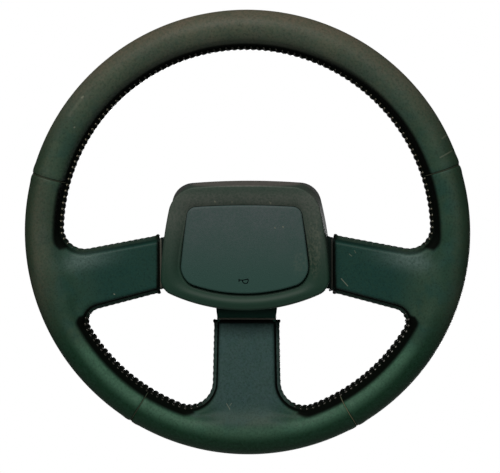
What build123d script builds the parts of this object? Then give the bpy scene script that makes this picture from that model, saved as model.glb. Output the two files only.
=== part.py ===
from build123d import *

import os
from dataclasses import dataclass
from math import atan2, cos, degrees, hypot, radians, sin, sqrt, tan

# Leather-bound three-spoke car steering wheel.
# The column axis is Y, the driver looks along +Y and twelve o'clock is +Z.
# A level is a distance along the axis from the back face of the hub boss towards the driver.
# Plan points are (X, Z) pairs as the driver sees them.

# Rim, leather and lacing
WHEEL_DIAMETER = 380.0
GRIP_DIAMETER = 30.8
CORE_DIAMETER = 10.0
RIM_LEVEL = 50.0
LEATHER = 1.3
LIP_HEIGHT = 2.6
LIP_BED = 1.2
LIP_ROOT = 5.0
LIP_TIP = 2.2
LIP_SLIT = 0.3
CROSS_SEAM_ANGLES = (18.2, 163.6, 238.0, 300.2)
CROSS_SEAM_GAP = 0.3
STITCH_PITCH = 5.3
STITCH_WIDTH = 1.6
THREAD = 0.9
STITCH_LEAN = 22.0
STITCH_ROOM = 0.2
STITCH_FOOT = 0.7

# Spokes, measured on the leather below its lips
SPOKE_THICKNESS = 15.0
SPOKE_BEVEL = 22.0
SPOKE_SINK = 0.8
SIDE_SPOKE_END = 75.0
SIDE_UPPER_HEIGHT = -3.3
SIDE_UPPER_FALL = 10.1
SIDE_UPPER_CORNER = 20.5
SIDE_LOWER_HEIGHT = -48.2
SIDE_LOWER_FALL = 14.0
SIDE_LOWER_CORNER = 13.5
BOTTOM_SPOKE_END = 74.4
BOTTOM_HALF_WIDTH = 25.8
BOTTOM_FLARE = 1.2
BOTTOM_CORNER = 22.8
NECK_INSET = 4.0
NECK_THICKNESS = 10.0
NECK_LENGTH = 18.0
WELT_THICKNESS = 1.4
WELT_PROUD = 1.6

# Steel carrier and hub boss
HUB_LEVEL = 34.0
SHEET = 3.0
ARM_WIDTH = 26.0
ARM_DEPTH = 7.0
PLATE_MARGIN = 2.0
BOSS_RADIUS = 16.0
BOSS_FLANGE_RADIUS = 24.0
BOSS_FLANGE = 5.0
SPIGOT_RADIUS = 19.0
SPIGOT_HEIGHT = 5.0
NUT_RECESS_RADIUS = 14.0
NUT_RECESS_DEPTH = 7.0
PILOT_RADIUS = 9.2
PILOT_LENGTH = 10.0
SERRATION_COUNT = 36
SERRATION_DEPTH = 0.8

# Pad, as its skirt's back edge runs
PAD_REAR_LEVEL = 32.0
PAD_FRONT_LEVEL = 72.0
PAD_DRAFT = 3.5
PAD_WALL = 4.0
PAD_TOP = 45.6
PAD_TOP_HALF_WIDTH = 60.5
PAD_TOP_CROWN = 3.0
PAD_SIDE_BULGE = 3.2
PAD_BASE = -64.6
PAD_BASE_HALF_WIDTH = 73.4
PAD_BASE_CROWN = 18.6
PAD_TOP_CORNER = 19.0
PAD_BASE_CORNER = 10.0
PAD_EDGE_ROUND = 7.0

# Horn button and its well
PANEL_TOP = 26.5
PANEL_TOP_HALF_WIDTH = 47.3
PANEL_TOP_CROWN = 1.8
PANEL_SIDE_BULGE = 0.4
PANEL_BASE = -47.8
PANEL_BASE_HALF_WIDTH = 54.8
PANEL_BASE_CROWN = 11.5
PANEL_TOP_CORNER = 6.0
PANEL_BASE_CORNER = 12.0
PANEL_GAP = 0.6
PANEL_FRONT_LEVEL = 72.5
PANEL_THICKNESS = 3.5
PANEL_EDGE_ROUND = 1.5
BUTTON_WALL = 2.0
BUTTON_SKIRT = 9.0
BUTTON_TRAVEL = 2.5
WELL_WALL = 2.0
WELL_EDGE_ROUND = 3.0
STEM_DIAMETER = 5.0
STEM_PLACES = ((-34.0, 13.0), (34.0, 13.0), (-38.0, -27.0), (38.0, -27.0))
SPRING_DIAMETER = 9.0
SPRING_WIRE = 1.0
SPRING_TURNS = 4.0
RETAINER_DIAMETER = 10.0
RETAINER_THICKNESS = 1.2
STEM_END = 1.5

# Horn contacts
BASE_LEVEL = 52.0
BASE_THICKNESS = 3.0
BASE_SCREW_PLACES = ((-57.0, 6.0), (57.0, 6.0), (-61.0, -26.0), (61.0, -26.0))
BASE_SCREW_DIAMETER = 3.0
BASE_SCREW_HEAD = 6.0
BASE_SCREW_HEAD_HEIGHT = 2.0
BASE_SCREW_GRIP = 8.0
BASE_BOSS_RADIUS = 3.5
STRIP_LENGTH = 44.0
STRIP_WIDTH = 9.0
STRIP_THICKNESS = 0.8
RIVET_DIAMETER = 5.0
RIVET_HEIGHT = 0.6
CONTACT_HEIGHT = -8.0
BLADE_WIDTH = 6.3
BLADE_LENGTH = 8.0
BLADE_HEIGHT = 31.0

# Rear cover and its long screws
COVER_REAR_LEVEL = 13.0
COVER_SLOPE = 25.0
COVER_WALL = 2.5
POST_PLACES = ((-48.0, 32.0), (48.0, 32.0), (-36.0, -50.0), (36.0, -50.0))
POST_RADIUS = 5.0
PAD_SCREW_DIAMETER = 4.2
PAD_SCREW_HEAD = 9.0
PAD_SCREW_HEAD_HEIGHT = 3.0
PAD_SCREW_GRIP = 14.0
PAD_SCREW_SEAT = 6.0

# Slip ring
RING_CARRIER_RADIUS = 34.0
RING_CARRIER_LEVEL = 9.0
RING_CARRIER_DISC = 5.0
RING_CARRIER_SLEEVE = 3.0
RING_INNER_RADIUS = 23.0
RING_OUTER_RADIUS = 30.0
RING_THICKNESS = 1.6
RING_PROUD = 0.4
CAM_HEIGHT = 6.0
CAM_LENGTH = 9.0
CAM_THICKNESS = 3.0

# Horn lead
LEAD_DIAMETER = 2.2
LEAD_BEND = 7.0
LEAD_HOLE_RADIUS = 6.0
TERMINAL_LENGTH = 9.0
TERMINAL_WALL = 0.8

# Clearances
FIT = 0.1
CLEARANCE = 0.4
RUNNING_GAP = 0.3

# What follows from the sizes above
GRIP_RADIUS = GRIP_DIAMETER / 2
GRIP_CENTRE = WHEEL_DIAMETER / 2 - GRIP_RADIUS
GRIP_INNER = GRIP_CENTRE - GRIP_RADIUS
PLATE_RADIUS = BLADE_HEIGHT + LEAD_HOLE_RADIUS + PLATE_MARGIN
PLATE_REAR = HUB_LEVEL - ARM_DEPTH / 2 + (ARM_DEPTH - SHEET)
PLATE_FRONT = PLATE_REAR + SHEET
COVER_FRONT_LEVEL = PAD_REAR_LEVEL - RUNNING_GAP
BUTTON_BACK_LEVEL = PANEL_FRONT_LEVEL - PANEL_THICKNESS
BASE_REAR_LEVEL = BASE_LEVEL - BASE_THICKNESS
COLUMN = Axis((0, 0, 0), (0, -1, 0))


def level(height: float) -> Plane:
    """The plane across the column at a level, facing the driver."""
    return Plane.XZ.offset(height)


def facing_back(height: float) -> Plane:
    """The plane across the column at a level, facing away from the driver."""
    return Plane((0, -height, 0), (-1, 0, 0), (0, 1, 0))


def heading_vector(angle: float) -> Vector:
    """The plan direction at an angle from +X, turning towards +Z."""
    return Vector(cos(radians(angle)), sin(radians(angle)))


@dataclass(frozen=True)
class SpokeSide:
    """One long side of a spoke in plan: its start at the pad, its heading, its window and its corner."""

    start: Vector
    heading: float
    window: int
    corner: float

    def mirrored(self) -> "SpokeSide":
        """The same side on the other half of the wheel."""
        return SpokeSide(Vector(-self.start.X, self.start.Y), 180 - self.heading, -self.window, self.corner)

    def run(self, inset: float, sink: float = 0) -> list[Vector]:
        """Start, end of the straight and touching point on the rim.

        The inset moves the side into the spoke, and the sink moves the touching point into the rim.
        """
        along = heading_vector(self.heading)
        outward = heading_vector(self.heading + 90 * self.window)
        offset_start = self.start + outward * self.corner
        reach = GRIP_INNER + sink - self.corner
        projected = offset_start.dot(along)
        travel = -projected + sqrt(projected**2 - offset_start.dot(offset_start) + reach**2)
        centre = offset_start + along * travel
        straight_end = centre - outward * (self.corner + inset)
        touch = centre * ((reach + self.corner + inset) / reach)
        return [self.start + (along - outward) * inset, straight_end, touch]

    def touch_angle(self) -> float:
        """The angle round the wheel at which the side's corner meets the rim."""
        touch = self.run(0)[2]
        return degrees(atan2(touch.Y, touch.X))


@dataclass(frozen=True)
class Spoke:
    """A spoke between two sides, lying in a plane that falls back from the rim to the hub."""

    first: SpokeSide
    second: SpokeSide

    def middle(self) -> Vector:
        """The plan point midway between the two corners on the rim."""
        return (self.first.run(0)[2] + self.second.run(0)[2]) / 2

    def slope(self) -> float:
        """How far the spoke falls back for each millimetre towards the hub."""
        return (RIM_LEVEL - HUB_LEVEL) / (self.middle().length - PLATE_RADIUS)

    def plane(self) -> Plane:
        """The spoke's middle plane, with its Y towards the hub and its Z towards the driver."""
        middle = self.middle()
        inward = -middle.normalized()
        across = Vector(inward.Y, 0, -inward.X)
        down = Vector(inward.X, self.slope(), inward.Y)
        return Plane((middle.X, -RIM_LEVEL, middle.Y), across, across.cross(down))

    def place(self, point: Vector) -> Vector:
        """A plan point's place in the spoke's plane."""
        offset_point = point - self.middle()
        inward = -self.middle().normalized()
        across = Vector(inward.Y, -inward.X)
        return Vector(offset_point.dot(across), offset_point.dot(inward) * hypot(1, self.slope()))

    def end(self) -> Vector:
        """The plan point in the middle of the spoke's pad end."""
        return (self.first.start + self.second.start) / 2

    def heading(self) -> Vector:
        """The plan direction of the spoke's centre line, towards the rim."""
        return (heading_vector(self.first.heading) + heading_vector(self.second.heading)).normalized()

    def along(self, distance: float) -> Vector:
        """The plan point on the centre line at a distance from the pad end, towards the rim."""
        return self.end() + self.heading() * distance

    def reach(self, radius: float) -> float:
        """The distance along the centre line from the pad end to a radius, positive towards the rim."""
        projected = self.end().dot(self.heading())
        return -projected + sqrt(projected**2 - self.end().dot(self.end()) + radius**2)


RIGHT_UPPER = SpokeSide(Vector(SIDE_SPOKE_END, SIDE_UPPER_HEIGHT), -SIDE_UPPER_FALL, 1, SIDE_UPPER_CORNER)
RIGHT_LOWER = SpokeSide(Vector(SIDE_SPOKE_END, SIDE_LOWER_HEIGHT), -SIDE_LOWER_FALL, -1, SIDE_LOWER_CORNER)
BOTTOM_RIGHT = SpokeSide(Vector(BOTTOM_HALF_WIDTH, -BOTTOM_SPOKE_END), BOTTOM_FLARE - 90, 1, BOTTOM_CORNER)
RIGHT_SPOKE = Spoke(RIGHT_UPPER, RIGHT_LOWER)
LEFT_SPOKE = Spoke(RIGHT_UPPER.mirrored(), RIGHT_LOWER.mirrored())
BOTTOM_SPOKE = Spoke(BOTTOM_RIGHT, BOTTOM_RIGHT.mirrored())
SPOKES = (RIGHT_SPOKE, LEFT_SPOKE, BOTTOM_SPOKE)


@dataclass(frozen=True)
class Window:
    """An opening between two spokes, from the side that starts its rim arc to the side that ends it."""

    first_spoke: Spoke
    first_side: SpokeSide
    last_spoke: Spoke
    last_side: SpokeSide

    def angles(self) -> tuple[float, float]:
        """Start and span of the window's arc of rim."""
        start = self.first_side.touch_angle()
        return start, (self.last_side.touch_angle() - start) % 360

    def edges(self) -> list[tuple[Spoke, SpokeSide]]:
        """The two spoke sides that bound the window."""
        return [(self.first_spoke, self.first_side), (self.last_spoke, self.last_side)]


TOP_WINDOW = Window(RIGHT_SPOKE, RIGHT_SPOKE.first, LEFT_SPOKE, LEFT_SPOKE.first)
LOWER_LEFT_WINDOW = Window(LEFT_SPOKE, LEFT_SPOKE.second, BOTTOM_SPOKE, BOTTOM_SPOKE.second)
LOWER_RIGHT_WINDOW = Window(BOTTOM_SPOKE, BOTTOM_SPOKE.first, RIGHT_SPOKE, RIGHT_SPOKE.second)
WINDOWS = (TOP_WINDOW, LOWER_LEFT_WINDOW, LOWER_RIGHT_WINDOW)


def ring(radius: float) -> Part:
    """A ring of round section on the rim's centre line, started at twelve o'clock."""
    with BuildPart() as torus:
        with BuildSketch(Plane.YZ):
            with Locations((-RIM_LEVEL, GRIP_CENTRE)):
                Circle(radius)
        revolve(axis=COLUMN)
    return torus.part


def spoke_outline(spoke: Spoke, inset: float) -> Sketch:
    """A spoke's outline in its own plane with corners into the rim, smaller by the inset."""
    with BuildSketch() as outline:
        with BuildLine():
            starts = []
            roots = []
            for side in (spoke.first, spoke.second):
                start, straight_end, touch = side.run(inset, SPOKE_SINK)
                root = touch.normalized() * GRIP_CENTRE
                start, straight_end, touch, root = map(spoke.place, (start, straight_end, touch, root))
                Line(start, straight_end)
                TangentArc(straight_end, touch, tangent=straight_end - start)
                Line(touch, root)
                starts.append(start)
                roots.append(root)
            Line(*starts)
            root_middle = spoke.place(spoke.middle().normalized() * GRIP_CENTRE)
            ThreePointArc(roots[0], root_middle, roots[1])
        make_face()
    return outline.sketch


def spoke_slab(spoke: Spoke, inset: float) -> Part:
    """A spoke with bevelled sides and corners into the rim, smaller all round by the inset."""
    half = SPOKE_THICKNESS / 2 - inset
    face_inset = inset + half * tan(radians(SPOKE_BEVEL))
    with BuildPart() as slab:
        add(spoke_outline(spoke, inset))
        add(spoke_outline(spoke, face_inset).moved(Location((0, 0, half))))
        loft(ruled=True)
        mirror(about=Plane.XY)
    return slab.part.moved(spoke.plane().location)


def spoke_bar(spoke: Spoke, near: float, far: float, side_inset: float, below: float, above: float) -> Part:
    """A straight-sided length of spoke between two distances along it and two heights in its plane."""
    with BuildPart() as bar:
        with BuildSketch(spoke.plane().offset(below)):
            with BuildLine():
                corners = []
                for distance, sides in ((near, (0, 1)), (far, (1, 0))):
                    for index in sides:
                        side = (spoke.first, spoke.second)[index]
                        along = heading_vector(side.heading)
                        outward = heading_vector(side.heading + 90 * side.window)
                        corners.append(spoke.place(side.start + along * distance - outward * side_inset))
                Polyline(*corners, close=True)
            make_face()
        extrude(amount=above - below)
    return bar.part


def arm_bar(spoke: Spoke, width: float, below: float, above: float) -> Part:
    """A bar along a spoke's centre line, from the carrier's plate to the middle of the rim."""
    near = spoke.place(spoke.along(spoke.reach(PLATE_RADIUS) - SHEET))
    far = spoke.place(spoke.along(spoke.reach(GRIP_CENTRE)))
    run = far - near
    with BuildPart() as bar:
        with BuildSketch(spoke.plane().offset(below)):
            with Locations((near + far) / 2):
                Rectangle(run.length, width, rotation=degrees(atan2(run.Y, run.X)))
        extrude(amount=above - below)
    return bar.part


def side_path(spoke: Spoke, side: SpokeSide) -> Wire:
    """The line along a spoke's side and round its corner to the rim."""
    start, straight_end, touch = map(spoke.place, side.run(0))
    with BuildLine() as path:
        Line(start, straight_end)
        TangentArc(straight_end, touch, tangent=straight_end - start)
    return path.wire().moved(spoke.plane().location)


def side_frame(spoke: Spoke, side: SpokeSide, path: Wire, share: float) -> Plane:
    """A frame on a spoke's side, with X into the window and Z along the side."""
    tangent = path % share
    into_window = spoke.plane().z_dir.cross(tangent) * side.window
    return Plane(path @ share, into_window, tangent)


def rim_frame(angle: float) -> Plane:
    """A frame on the inside of the rim, with X into the window and Z along the rim."""
    radial = Vector(cos(radians(angle)), 0, sin(radians(angle)))
    tangent = Vector(-sin(radians(angle)), 0, cos(radians(angle)))
    return Plane(radial * GRIP_INNER - Vector(0, RIM_LEVEL, 0), -radial, tangent)


def window_path(window: Window) -> Wire:
    """The line round a window: along one spoke, round the rim and back along the next spoke."""
    start, span = window.angles()
    with BuildLine() as arc:
        CenterArc((0, 0), GRIP_INNER, start, span)
    rim_run = arc.wire().moved(level(RIM_LEVEL).location)
    first_run, last_run = [side_path(spoke, side) for spoke, side in window.edges()]
    return Wire.combine(first_run.edges() + rim_run.edges() + last_run.edges())[0]


def window_band(window: Window, outline: list[tuple[float, float]]) -> Part:
    """An outline carried round a window."""
    path = window_path(window)
    with BuildPart() as band:
        with BuildSketch(side_frame(window.first_spoke, window.first_side, path, 0)):
            Polygon(*outline, align=None)
        sweep(path=path, transition=Transition.TRANSFORMED)
    return band.part


def stitch_frames(window: Window) -> list[Plane]:
    """Evenly spaced frames for the stitches round a window."""
    frames = []
    for spoke, side in window.edges():
        path = side_path(spoke, side)
        count = round(path.length / STITCH_PITCH)
        frames += [side_frame(spoke, side, path, (index + 0.5) / count) for index in range(count)]
    start, span = window.angles()
    count = round(radians(span) * GRIP_INNER / STITCH_PITCH)
    frames += [rim_frame(start + span * (index + 0.5) / count) for index in range(count)]
    return frames


@dataclass(frozen=True)
class Bow:
    """A shallow arc in plan: its crest, the direction it bows in and a point it passes through."""

    crest: Vector
    outward: Vector
    through: Vector

    def radius(self) -> float:
        """The arc's radius."""
        chord = self.through - self.crest
        return chord.dot(chord) / 2 / -chord.dot(self.outward)

    def centre(self) -> Vector:
        """The arc's centre."""
        return self.crest - self.outward * self.radius()

    def meeting(self, other: "Bow", grow: float, near: Vector) -> Vector:
        """Where this arc and another cross when both are moved out by an amount."""
        run = other.centre() - self.centre()
        first_radius = self.radius() + grow
        last_radius = other.radius() + grow
        share = (run.dot(run) + first_radius**2 - last_radius**2) / 2 / run.length
        height = sqrt(first_radius**2 - share**2)
        foot = self.centre() + run.normalized() * share
        across = run.normalized().rotate(Axis.Z, 90) * height
        return min(foot + across, foot - across, key=lambda point: (point - near).length)


@dataclass(frozen=True)
class Shield:
    """The crowned outline that pad and panel share: top and base are the heights on the centre line."""

    top: float
    top_half_width: float
    top_crown: float
    side_bulge: float
    base: float
    base_half_width: float
    base_crown: float
    top_corner: float
    base_corner: float

    def sketch(self, grow: float) -> Sketch:
        """The outline in plan, moved out by an amount."""
        upper = Vector(self.top_half_width, self.top - self.top_crown)
        lower = Vector(self.base_half_width, self.base + self.base_crown)
        sideways = (upper - lower).rotate(Axis.Z, -90).normalized()
        top_arc = Bow(Vector(0, self.top), Vector(0, 1), upper)
        base_arc = Bow(Vector(0, self.base), Vector(0, -1), lower)
        side_arc = Bow((upper + lower) / 2 + sideways * self.side_bulge, sideways, upper)
        upper = top_arc.meeting(side_arc, grow, upper)
        lower = base_arc.meeting(side_arc, grow, lower)
        crest, foot, flank = (arc.crest + arc.outward * grow for arc in (top_arc, base_arc, side_arc))
        with BuildSketch() as outline:
            with BuildLine():
                ThreePointArc(upper, crest, (-upper.X, upper.Y))
                ThreePointArc((-upper.X, upper.Y), (-flank.X, flank.Y), (-lower.X, lower.Y))
                ThreePointArc((-lower.X, lower.Y), foot, lower)
                ThreePointArc(lower, flank, upper)
            make_face()
            fillet(outline.vertices().group_by(Axis.Y)[-1], self.top_corner + grow)
            fillet(outline.vertices().group_by(Axis.Y)[0], self.base_corner + grow)
        return outline.sketch

    def block(self, plane: Plane, grow: float, depth: float, draft_angle: float = 0) -> Part:
        """A block of the outline standing on a plane, drawn in by the draft as it rises."""
        with BuildPart() as solid:
            add(self.sketch(grow))
            extrude(amount=depth, taper=draft_angle)
        return solid.part.moved(plane.location)


PAD = Shield(
    PAD_TOP, PAD_TOP_HALF_WIDTH, PAD_TOP_CROWN, PAD_SIDE_BULGE,
    PAD_BASE, PAD_BASE_HALF_WIDTH, PAD_BASE_CROWN, PAD_TOP_CORNER, PAD_BASE_CORNER,
)
PANEL = Shield(
    PANEL_TOP, PANEL_TOP_HALF_WIDTH, PANEL_TOP_CROWN, PANEL_SIDE_BULGE,
    PANEL_BASE, PANEL_BASE_HALF_WIDTH, PANEL_BASE_CROWN, PANEL_TOP_CORNER, PANEL_BASE_CORNER,
)

# Steel ring inside the rim
with BuildPart() as rim_core:
    add(ring(CORE_DIAMETER / 2))

# Pressed carrier: a plate with four ears for the pad's screws and three channel arms to the rim
arms = [arm_bar(spoke, ARM_WIDTH, -ARM_DEPTH / 2, ARM_DEPTH / 2) for spoke in SPOKES]
channel_width = ARM_WIDTH - 2 * SHEET
channels = [arm_bar(spoke, channel_width, -ARM_DEPTH / 2, ARM_DEPTH / 2 - SHEET) for spoke in SPOKES]
with BuildPart() as spoke_carrier:
    add(arms)
    add(channels, mode=Mode.SUBTRACT)
    add(rim_core.part, mode=Mode.SUBTRACT)
    for place in POST_PLACES:
        with BuildSketch(level(PLATE_REAR)):
            Circle(PLATE_RADIUS)
            with Locations(place):
                Circle(POST_RADIUS)
            make_hull()
        extrude(amount=SHEET)
    with BuildSketch(level(PLATE_REAR)):
        Circle(SPIGOT_RADIUS + FIT)
        with Locations((0, BLADE_HEIGHT)):
            Circle(LEAD_HOLE_RADIUS)
        with Locations(*POST_PLACES):
            Circle(PAD_SCREW_DIAMETER / 2 + CLEARANCE)
    extrude(amount=SHEET, mode=Mode.SUBTRACT)

# Turned boss: pilot and serrations for the column, a flange under the plate and a recess for its nut
with BuildPart() as hub_boss:
    nut_seat = PLATE_FRONT + SPIGOT_HEIGHT - NUT_RECESS_DEPTH
    with BuildSketch(Plane.XY):
        with BuildLine():
            Polyline(
                (PILOT_RADIUS, 0),
                (BOSS_RADIUS, 0),
                (BOSS_RADIUS, BOSS_FLANGE - PLATE_REAR),
                (BOSS_FLANGE_RADIUS, BOSS_FLANGE - PLATE_REAR),
                (BOSS_FLANGE_RADIUS, -PLATE_REAR),
                (SPIGOT_RADIUS, -PLATE_REAR),
                (SPIGOT_RADIUS, -PLATE_FRONT - SPIGOT_HEIGHT),
                (NUT_RECESS_RADIUS, -PLATE_FRONT - SPIGOT_HEIGHT),
                (NUT_RECESS_RADIUS, -nut_seat),
                (PILOT_RADIUS - SERRATION_DEPTH, -nut_seat),
                (PILOT_RADIUS - SERRATION_DEPTH, -PILOT_LENGTH),
                (PILOT_RADIUS, -PILOT_LENGTH),
                close=True,
            )
        make_face()
    revolve(axis=Axis.Y)
    tooth_root = PILOT_RADIUS - SERRATION_DEPTH
    tooth_half = PILOT_RADIUS * radians(120 / SERRATION_COUNT)
    with BuildSketch(level(PILOT_LENGTH)):
        with PolarLocations(0, SERRATION_COUNT):
            Polygon(
                (tooth_root - SERRATION_DEPTH, -tooth_half),
                (PILOT_RADIUS, 0),
                (tooth_root - SERRATION_DEPTH, tooth_half),
                align=None,
            )
    extrude(amount=nut_seat - PILOT_LENGTH, mode=Mode.SUBTRACT)

# Foam moulding: the rim, three spokes and the bare necks that run into the pad
necks = [
    spoke_bar(spoke, -NECK_LENGTH, NECK_LENGTH, NECK_INSET, -NECK_THICKNESS / 2, NECK_THICKNESS / 2)
    for spoke in SPOKES
]
foam_slabs = [spoke_slab(spoke, LEATHER) for spoke in SPOKES]
with BuildPart() as foam_shape:
    add(ring(GRIP_RADIUS - LEATHER))
    add(foam_slabs)
    add(necks)
with BuildPart() as grip_foam:
    add(foam_shape.part)
    add(rim_core.part, mode=Mode.SUBTRACT)
    add(spoke_carrier.part, mode=Mode.SUBTRACT)

# Leather: wrap, sewn lips round the windows and a welt where each spoke ends
lip_outline = [
    (-LIP_BED, LIP_ROOT / 2),
    (LIP_HEIGHT, LIP_TIP / 2),
    (LIP_HEIGHT, -LIP_TIP / 2),
    (-LIP_BED, -LIP_ROOT / 2),
]
slit_outline = [
    (-2 * LEATHER, LIP_SLIT / 2),
    (2 * LIP_HEIGHT, LIP_SLIT / 2),
    (2 * LIP_HEIGHT, -LIP_SLIT / 2),
    (-2 * LEATHER, -LIP_SLIT / 2),
]
leather_slabs = [spoke_slab(spoke, 0) for spoke in SPOKES]
welt_half = NECK_THICKNESS / 2 + WELT_PROUD
welts = [
    spoke_bar(spoke, -WELT_THICKNESS, LEATHER / 2, NECK_INSET - WELT_PROUD, -welt_half, welt_half)
    for spoke in SPOKES
]
lips = [window_band(window, lip_outline) for window in WINDOWS]
slits = [window_band(window, slit_outline) for window in WINDOWS]
with BuildPart() as leather_wrap:
    add(ring(GRIP_RADIUS))
    add(leather_slabs)
    for raised_edge in lips + welts:
        add(raised_edge)
    add(foam_shape.part, mode=Mode.SUBTRACT)
    for slit in slits:
        add(slit, mode=Mode.SUBTRACT)


def leather_piece(first_seam: float, last_seam: float) -> Part:
    """The wrap between two cross seams, given by their angles round the wheel."""
    trim = degrees(CROSS_SEAM_GAP / 2 / GRIP_CENTRE)
    start = first_seam + trim
    span = (last_seam - first_seam) % 360 - 2 * trim
    corners = [heading_vector(start + span * share / 3) * WHEEL_DIAMETER for share in range(4)]
    with BuildPart() as piece:
        add(leather_wrap.part)
        with BuildSketch(level(0)):
            Polygon((0, 0), *corners, align=None)
        extrude(amount=RIM_LEVEL + GRIP_DIAMETER, mode=Mode.INTERSECT)
    return piece.part


right_seam, left_seam, lower_left_seam, lower_right_seam = CROSS_SEAM_ANGLES
with BuildPart() as leather_top:
    add(leather_piece(right_seam, left_seam))
with BuildPart() as leather_left:
    add(leather_piece(left_seam, lower_left_seam))
with BuildPart() as leather_bottom:
    add(leather_piece(lower_left_seam, lower_right_seam))
with BuildPart() as leather_right:
    add(leather_piece(lower_right_seam, right_seam))

# Lacing: leaning stitches over the lips
lean_room = STITCH_WIDTH / 2 * sin(radians(STITCH_LEAN)) + STITCH_ROOM
lip_taper = (LIP_ROOT - LIP_TIP) / 2 / (LIP_HEIGHT + LIP_BED)
stitch_root = (LIP_TIP / 2 + lip_taper * LIP_HEIGHT + lean_room) / cos(radians(STITCH_LEAN))
stitch_tip = (LIP_TIP / 2 + lean_room) / cos(radians(STITCH_LEAN))
with BuildPart() as stitch:
    with BuildSketch(Plane.XY.rotated((STITCH_LEAN, 0, 0))):
        with BuildLine():
            half_outline = [
                (STITCH_FOOT, stitch_root),
                (LIP_HEIGHT + STITCH_ROOM, stitch_tip),
            ]
            outer_half = [
                (LIP_HEIGHT + STITCH_ROOM + THREAD, stitch_tip + THREAD / 3),
                (STITCH_FOOT, stitch_root + THREAD),
            ]
            lower_outer = [(x, -y) for x, y in reversed(outer_half)]
            lower_inner = [(x, -y) for x, y in reversed(half_outline)]
            Polyline(*half_outline, *lower_inner, *lower_outer, *outer_half, close=True)
        make_face()
    extrude(amount=STITCH_WIDTH / 2, both=True)
with BuildPart() as lacing_top:
    with Locations(*stitch_frames(TOP_WINDOW)):
        add(stitch.part)
with BuildPart() as lacing_lower_left:
    with Locations(*stitch_frames(LOWER_LEFT_WINDOW)):
        add(stitch.part)
with BuildPart() as lacing_lower_right:
    with Locations(*stitch_frames(LOWER_RIGHT_WINDOW)):
        add(stitch.part)

# Pad: a drafted shell with a rounded edge, a well for the button, bosses and notches for the necks
pad_depth = PAD_FRONT_LEVEL - PAD_REAR_LEVEL
ceiling = PAD_FRONT_LEVEL - PAD_WALL
pad_block = PAD.block(level(PAD_REAR_LEVEL), 0, pad_depth, PAD_DRAFT)
pad_cavity = PAD.block(level(PAD_REAR_LEVEL), -PAD_WALL, pad_depth - PAD_WALL, PAD_DRAFT)
well_block = PANEL.block(level(BASE_LEVEL), PANEL_GAP + WELL_WALL, ceiling - BASE_LEVEL)
well_opening = PANEL.block(level(BASE_LEVEL), PANEL_GAP, pad_depth)
neck_notches = [
    spoke_bar(spoke, -2 * NECK_LENGTH, 0, NECK_INSET - CLEARANCE, -pad_depth, NECK_THICKNESS / 2 + CLEARANCE)
    for spoke in SPOKES
]
with BuildPart() as notch_cutter:
    add(neck_notches)
    add(pad_cavity, mode=Mode.SUBTRACT)
with BuildPart() as pad_surround:
    add(pad_block)
    fillet(pad_surround.faces().sort_by(Axis.Y)[0].edges(), PAD_EDGE_ROUND)
    add(pad_cavity, mode=Mode.SUBTRACT)
    add(well_block)
    with BuildSketch(level(PLATE_FRONT)):
        with Locations(*POST_PLACES):
            Circle(POST_RADIUS)
    extrude(amount=ceiling - PLATE_FRONT)
    with BuildSketch(level(BASE_LEVEL)):
        with Locations(*BASE_SCREW_PLACES):
            Circle(BASE_BOSS_RADIUS)
    extrude(amount=ceiling - BASE_LEVEL)
    add(well_opening, mode=Mode.SUBTRACT)
    fillet(pad_surround.faces().sort_by(Axis.Y)[0].inner_wires()[0].edges(), WELL_EDGE_ROUND)
    with BuildSketch(level(PLATE_FRONT)):
        with Locations(*POST_PLACES):
            Circle(PAD_SCREW_DIAMETER / 2 + FIT)
    extrude(amount=PAD_SCREW_GRIP + CLEARANCE, mode=Mode.SUBTRACT)
    with BuildSketch(level(BASE_LEVEL)):
        with Locations(*BASE_SCREW_PLACES):
            Circle(BASE_SCREW_DIAMETER / 2 + FIT)
    extrude(amount=BASE_SCREW_GRIP + CLEARANCE, mode=Mode.SUBTRACT)
    with BuildSketch(level(BASE_LEVEL)):
        with Locations((0, PANEL_TOP)):
            Rectangle(BLADE_WIDTH + 2 * CLEARANCE, 2 * (PANEL_GAP + WELL_WALL + CLEARANCE))
    extrude(amount=STRIP_THICKNESS + CLEARANCE, mode=Mode.SUBTRACT)
    add(notch_cutter.part, mode=Mode.SUBTRACT)

# Contacts from the fixed strip up to the boss on the button
fixed_strip_top = BASE_LEVEL + STRIP_THICKNESS
moving_tip = fixed_strip_top + RIVET_HEIGHT + BUTTON_TRAVEL + RUNNING_GAP
moving_strip_rear = moving_tip + RIVET_HEIGHT
moving_strip_front = moving_strip_rear + STRIP_THICKNESS
rivet_places = [(-STRIP_LENGTH / 3, CONTACT_HEIGHT), (STRIP_LENGTH / 3, CONTACT_HEIGHT)]
retainer_front = BASE_REAR_LEVEL - RUNNING_GAP
retainer_rear = retainer_front - RETAINER_THICKNESS
stem_end = retainer_rear - STEM_END

# Horn button: raised panel with a skirt, four guide stems and a boss for the moving contact
button_block = PANEL.block(level(BUTTON_BACK_LEVEL - BUTTON_SKIRT), 0, PANEL_THICKNESS + BUTTON_SKIRT)
button_hollow = PANEL.block(level(BUTTON_BACK_LEVEL - BUTTON_SKIRT), -BUTTON_WALL, BUTTON_SKIRT)
with BuildPart() as horn_button:
    add(button_block)
    fillet(horn_button.faces().sort_by(Axis.Y)[0].edges(), PANEL_EDGE_ROUND)
    add(button_hollow, mode=Mode.SUBTRACT)
    with BuildSketch(level(stem_end)):
        with Locations(*STEM_PLACES):
            Circle(STEM_DIAMETER / 2)
    extrude(amount=BUTTON_BACK_LEVEL - stem_end)
    with BuildSketch(level(moving_strip_front)):
        with Locations((0, CONTACT_HEIGHT)):
            Rectangle(STRIP_LENGTH, STRIP_WIDTH)
    extrude(amount=BUTTON_BACK_LEVEL - moving_strip_front)

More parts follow.
